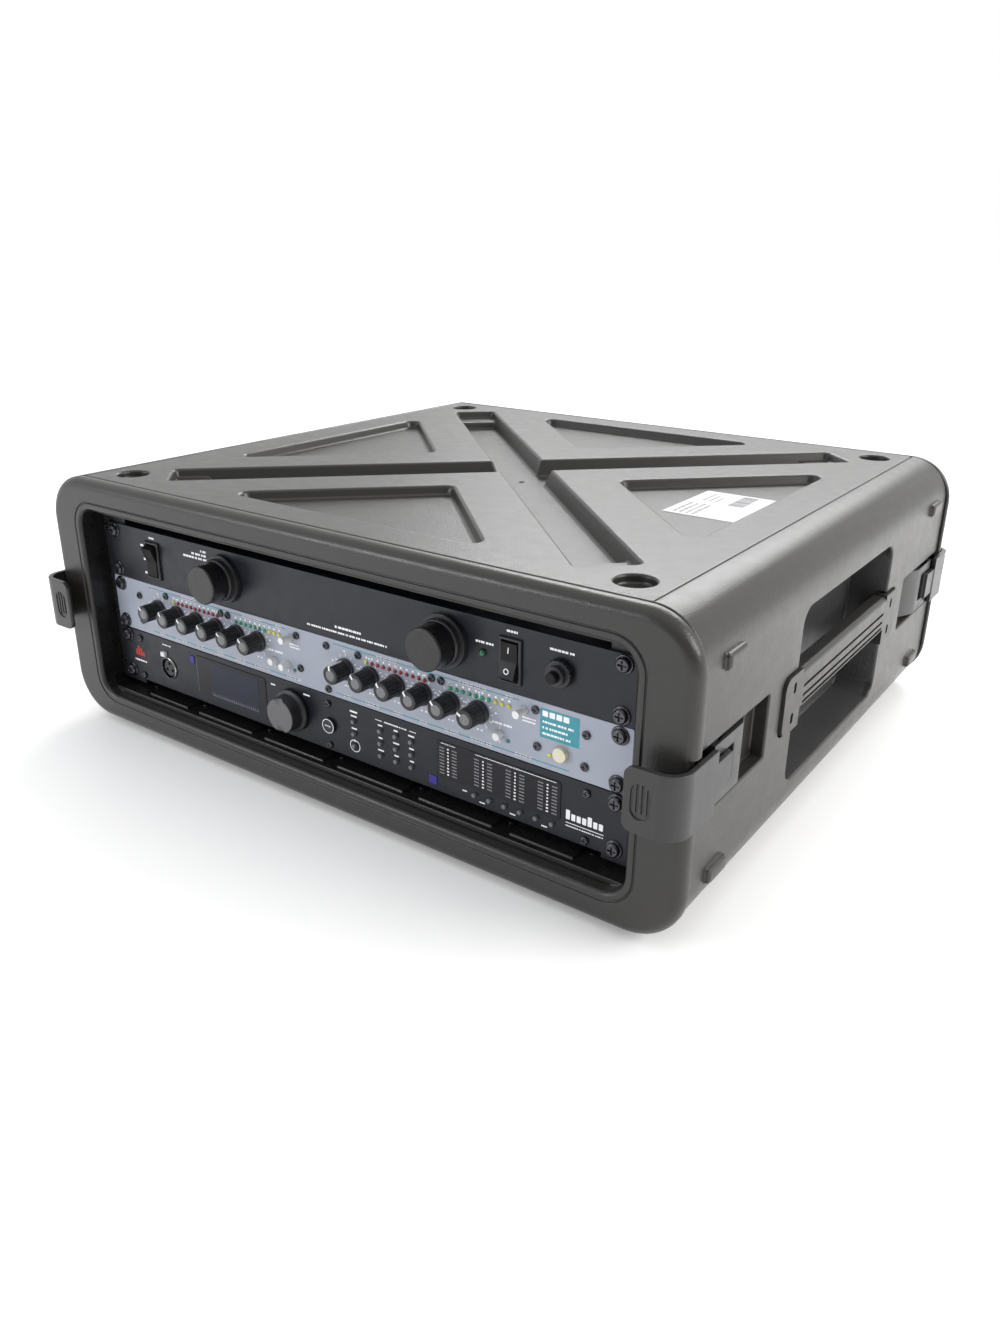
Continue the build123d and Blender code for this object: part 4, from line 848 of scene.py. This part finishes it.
def draw_meters(ink, grey, z0, head):
    """Scales, segments and headings of the four level meters, on their pane."""
    row_pitch, column_x = 2.35, 5.2       # rows of segments, and columns from the scale
    for x in METERS:
        for row in range(9):
            z = z0 + 12.2 - row_pitch * row
            ink.bar(x, z, 1.2 if row < 6 else 1.6, 1.0, y=PANE_Y)
            for side in (-1, 1):
                grey.bar(x + side * column_x, z, 4.0, 0.9, y=PANE_Y)
    # Each heading: X of its middle, length of its line, width and height of its word, seed.
    for x, line, width, height, seed in ((METERS[0], 12, 5, 1.2, 204), (159.5, 62, 8, 1.3, 205)):
        ink.bar(x, head, line, 0.4, y=PANE_Y)
        ink.words(x, head, width, height, seed, y=PANE_Y)


# ---------------------------------------------------------------- insides and back
def build_insides():
    """Chassis, lids, boards, rear sockets and the small screws."""
    for unit in UNITS:
        softened(unit + "_chassis", "_tray", STEEL, 0.2)
    for slot in NODES["chassis_covers"].material_slots:
        slot.material = STEEL
    softened("rear_sockets", "_moulded", SOCKET, 0.25)
    softened("circuit_boards", "_populated", BOARD, 0.2)
    softened("panel_screws", "_heads", BLACK_SCREW, 0.12)


# ---------------------------------------------------------------- floor, light, camera
def build_floor():
    """Pale floor under the case."""
    mesh = bpy.data.meshes.new("floor")
    reach = 60.0
    mesh.from_pydata([(-reach, -reach, 0), (reach, -reach, 0), (reach, reach, 0), (-reach, reach, 0)],
                     [], [(0, 1, 2, 3)])
    pale = surface("floor_white", (0.95, 0.95, 0.95), 0.6, grain=200, grain_bump=0.02, mottle=0.01,
                   mottle_scale=3)
    glow = pale.node_tree.nodes["Principled BSDF"]
    glow.inputs["Emission Color"].default_value = (1, 1, 1, 1)
    glow.inputs["Emission Strength"].default_value = 0.16
    mesh.materials.append(pale)
    floor = bpy.data.objects.new("floor", mesh)
    bpy.context.scene.collection.objects.link(floor)


def area_light(name, at, aim, size, power, colour):
    """Rectangular lamp that points at a place."""
    data = bpy.data.lights.new(name, "AREA")
    data.shape = "RECTANGLE"
    data.size, data.size_y = size
    data.energy = power
    data.color = colour
    light = bpy.data.objects.new(name, data)
    light.location = at
    light.rotation_euler = (Vector(aim) - Vector(at)).to_track_quat("-Z", "Y").to_euler()
    bpy.context.scene.collection.objects.link(light)


def build_lights():
    """World that is darker behind the camera, and three lamps."""
    world = bpy.data.worlds.new("studio")
    world.use_nodes = True
    tree = world.node_tree
    background = tree.nodes["Background"]
    background.inputs["Strength"].default_value = 1.0
    coords = tree.nodes.new("ShaderNodeTexCoord").outputs["Generated"]
    facing = tree.nodes.new("ShaderNodeVectorMath")
    facing.operation = "DOT_PRODUCT"
    facing.inputs[1].default_value = (-0.45, 0.80, 0.40)
    tree.links.new(coords, facing.inputs[0])
    behind = ranged(tree, facing.outputs["Value"], -0.7, 0.2, 0, 1)
    shade = mixed(tree, (0.26, 0.27, 0.29), (1, 1, 1), behind)
    tree.links.new(shade, background.inputs["Color"])
    bpy.context.scene.world = world
    area_light("key", (2.4, 0.6, 1.5), (0.1, 0, 0.1), (1.6, 1.2), 48, (1, 0.98, 0.95))
    area_light("back", (-0.6, 2.2, 1.7), (0, 0, 0.15), (2.2, 0.8), 45, (1, 1, 1))
    area_light("front_fill", (-1.4, -2.1, 0.8), (0, -0.1, 0.2), (0.8, 0.5), 16, (0.94, 0.96, 1))


def build_camera():
    """Camera to the front right and above, fitted to the viewing angle."""
    azimuth, elevation, roll = math.radians(-35.5), math.radians(22.5), math.radians(0.48)
    data = bpy.data.cameras.new("camera")
    data.sensor_fit = "HORIZONTAL"
    sensor, focal = 36.0, 1.0276          # width of the sensor, focal length in widths
    data.sensor_width = sensor
    data.lens = sensor * focal
    camera = bpy.data.objects.new("camera", data)
    ahead = Vector((math.sin(azimuth) * math.cos(elevation), math.cos(azimuth) * math.cos(elevation),
                    -math.sin(elevation)))
    turn = ahead.to_track_quat("-Z", "Y").to_matrix().to_4x4() @ Matrix.Rotation(roll, 4, "Z")
    camera.matrix_world = Matrix.Translation((0.4826, -0.7053, 0.3879)) @ turn
    bpy.context.scene.collection.objects.link(camera)
    bpy.context.scene.camera = camera


build_case()
build_label()
build_power_unit()
build_compressor()
build_processor()
build_insides()
build_floor()
build_lights()
build_camera()
bpy.context.scene.view_settings.view_transform = "Standard"
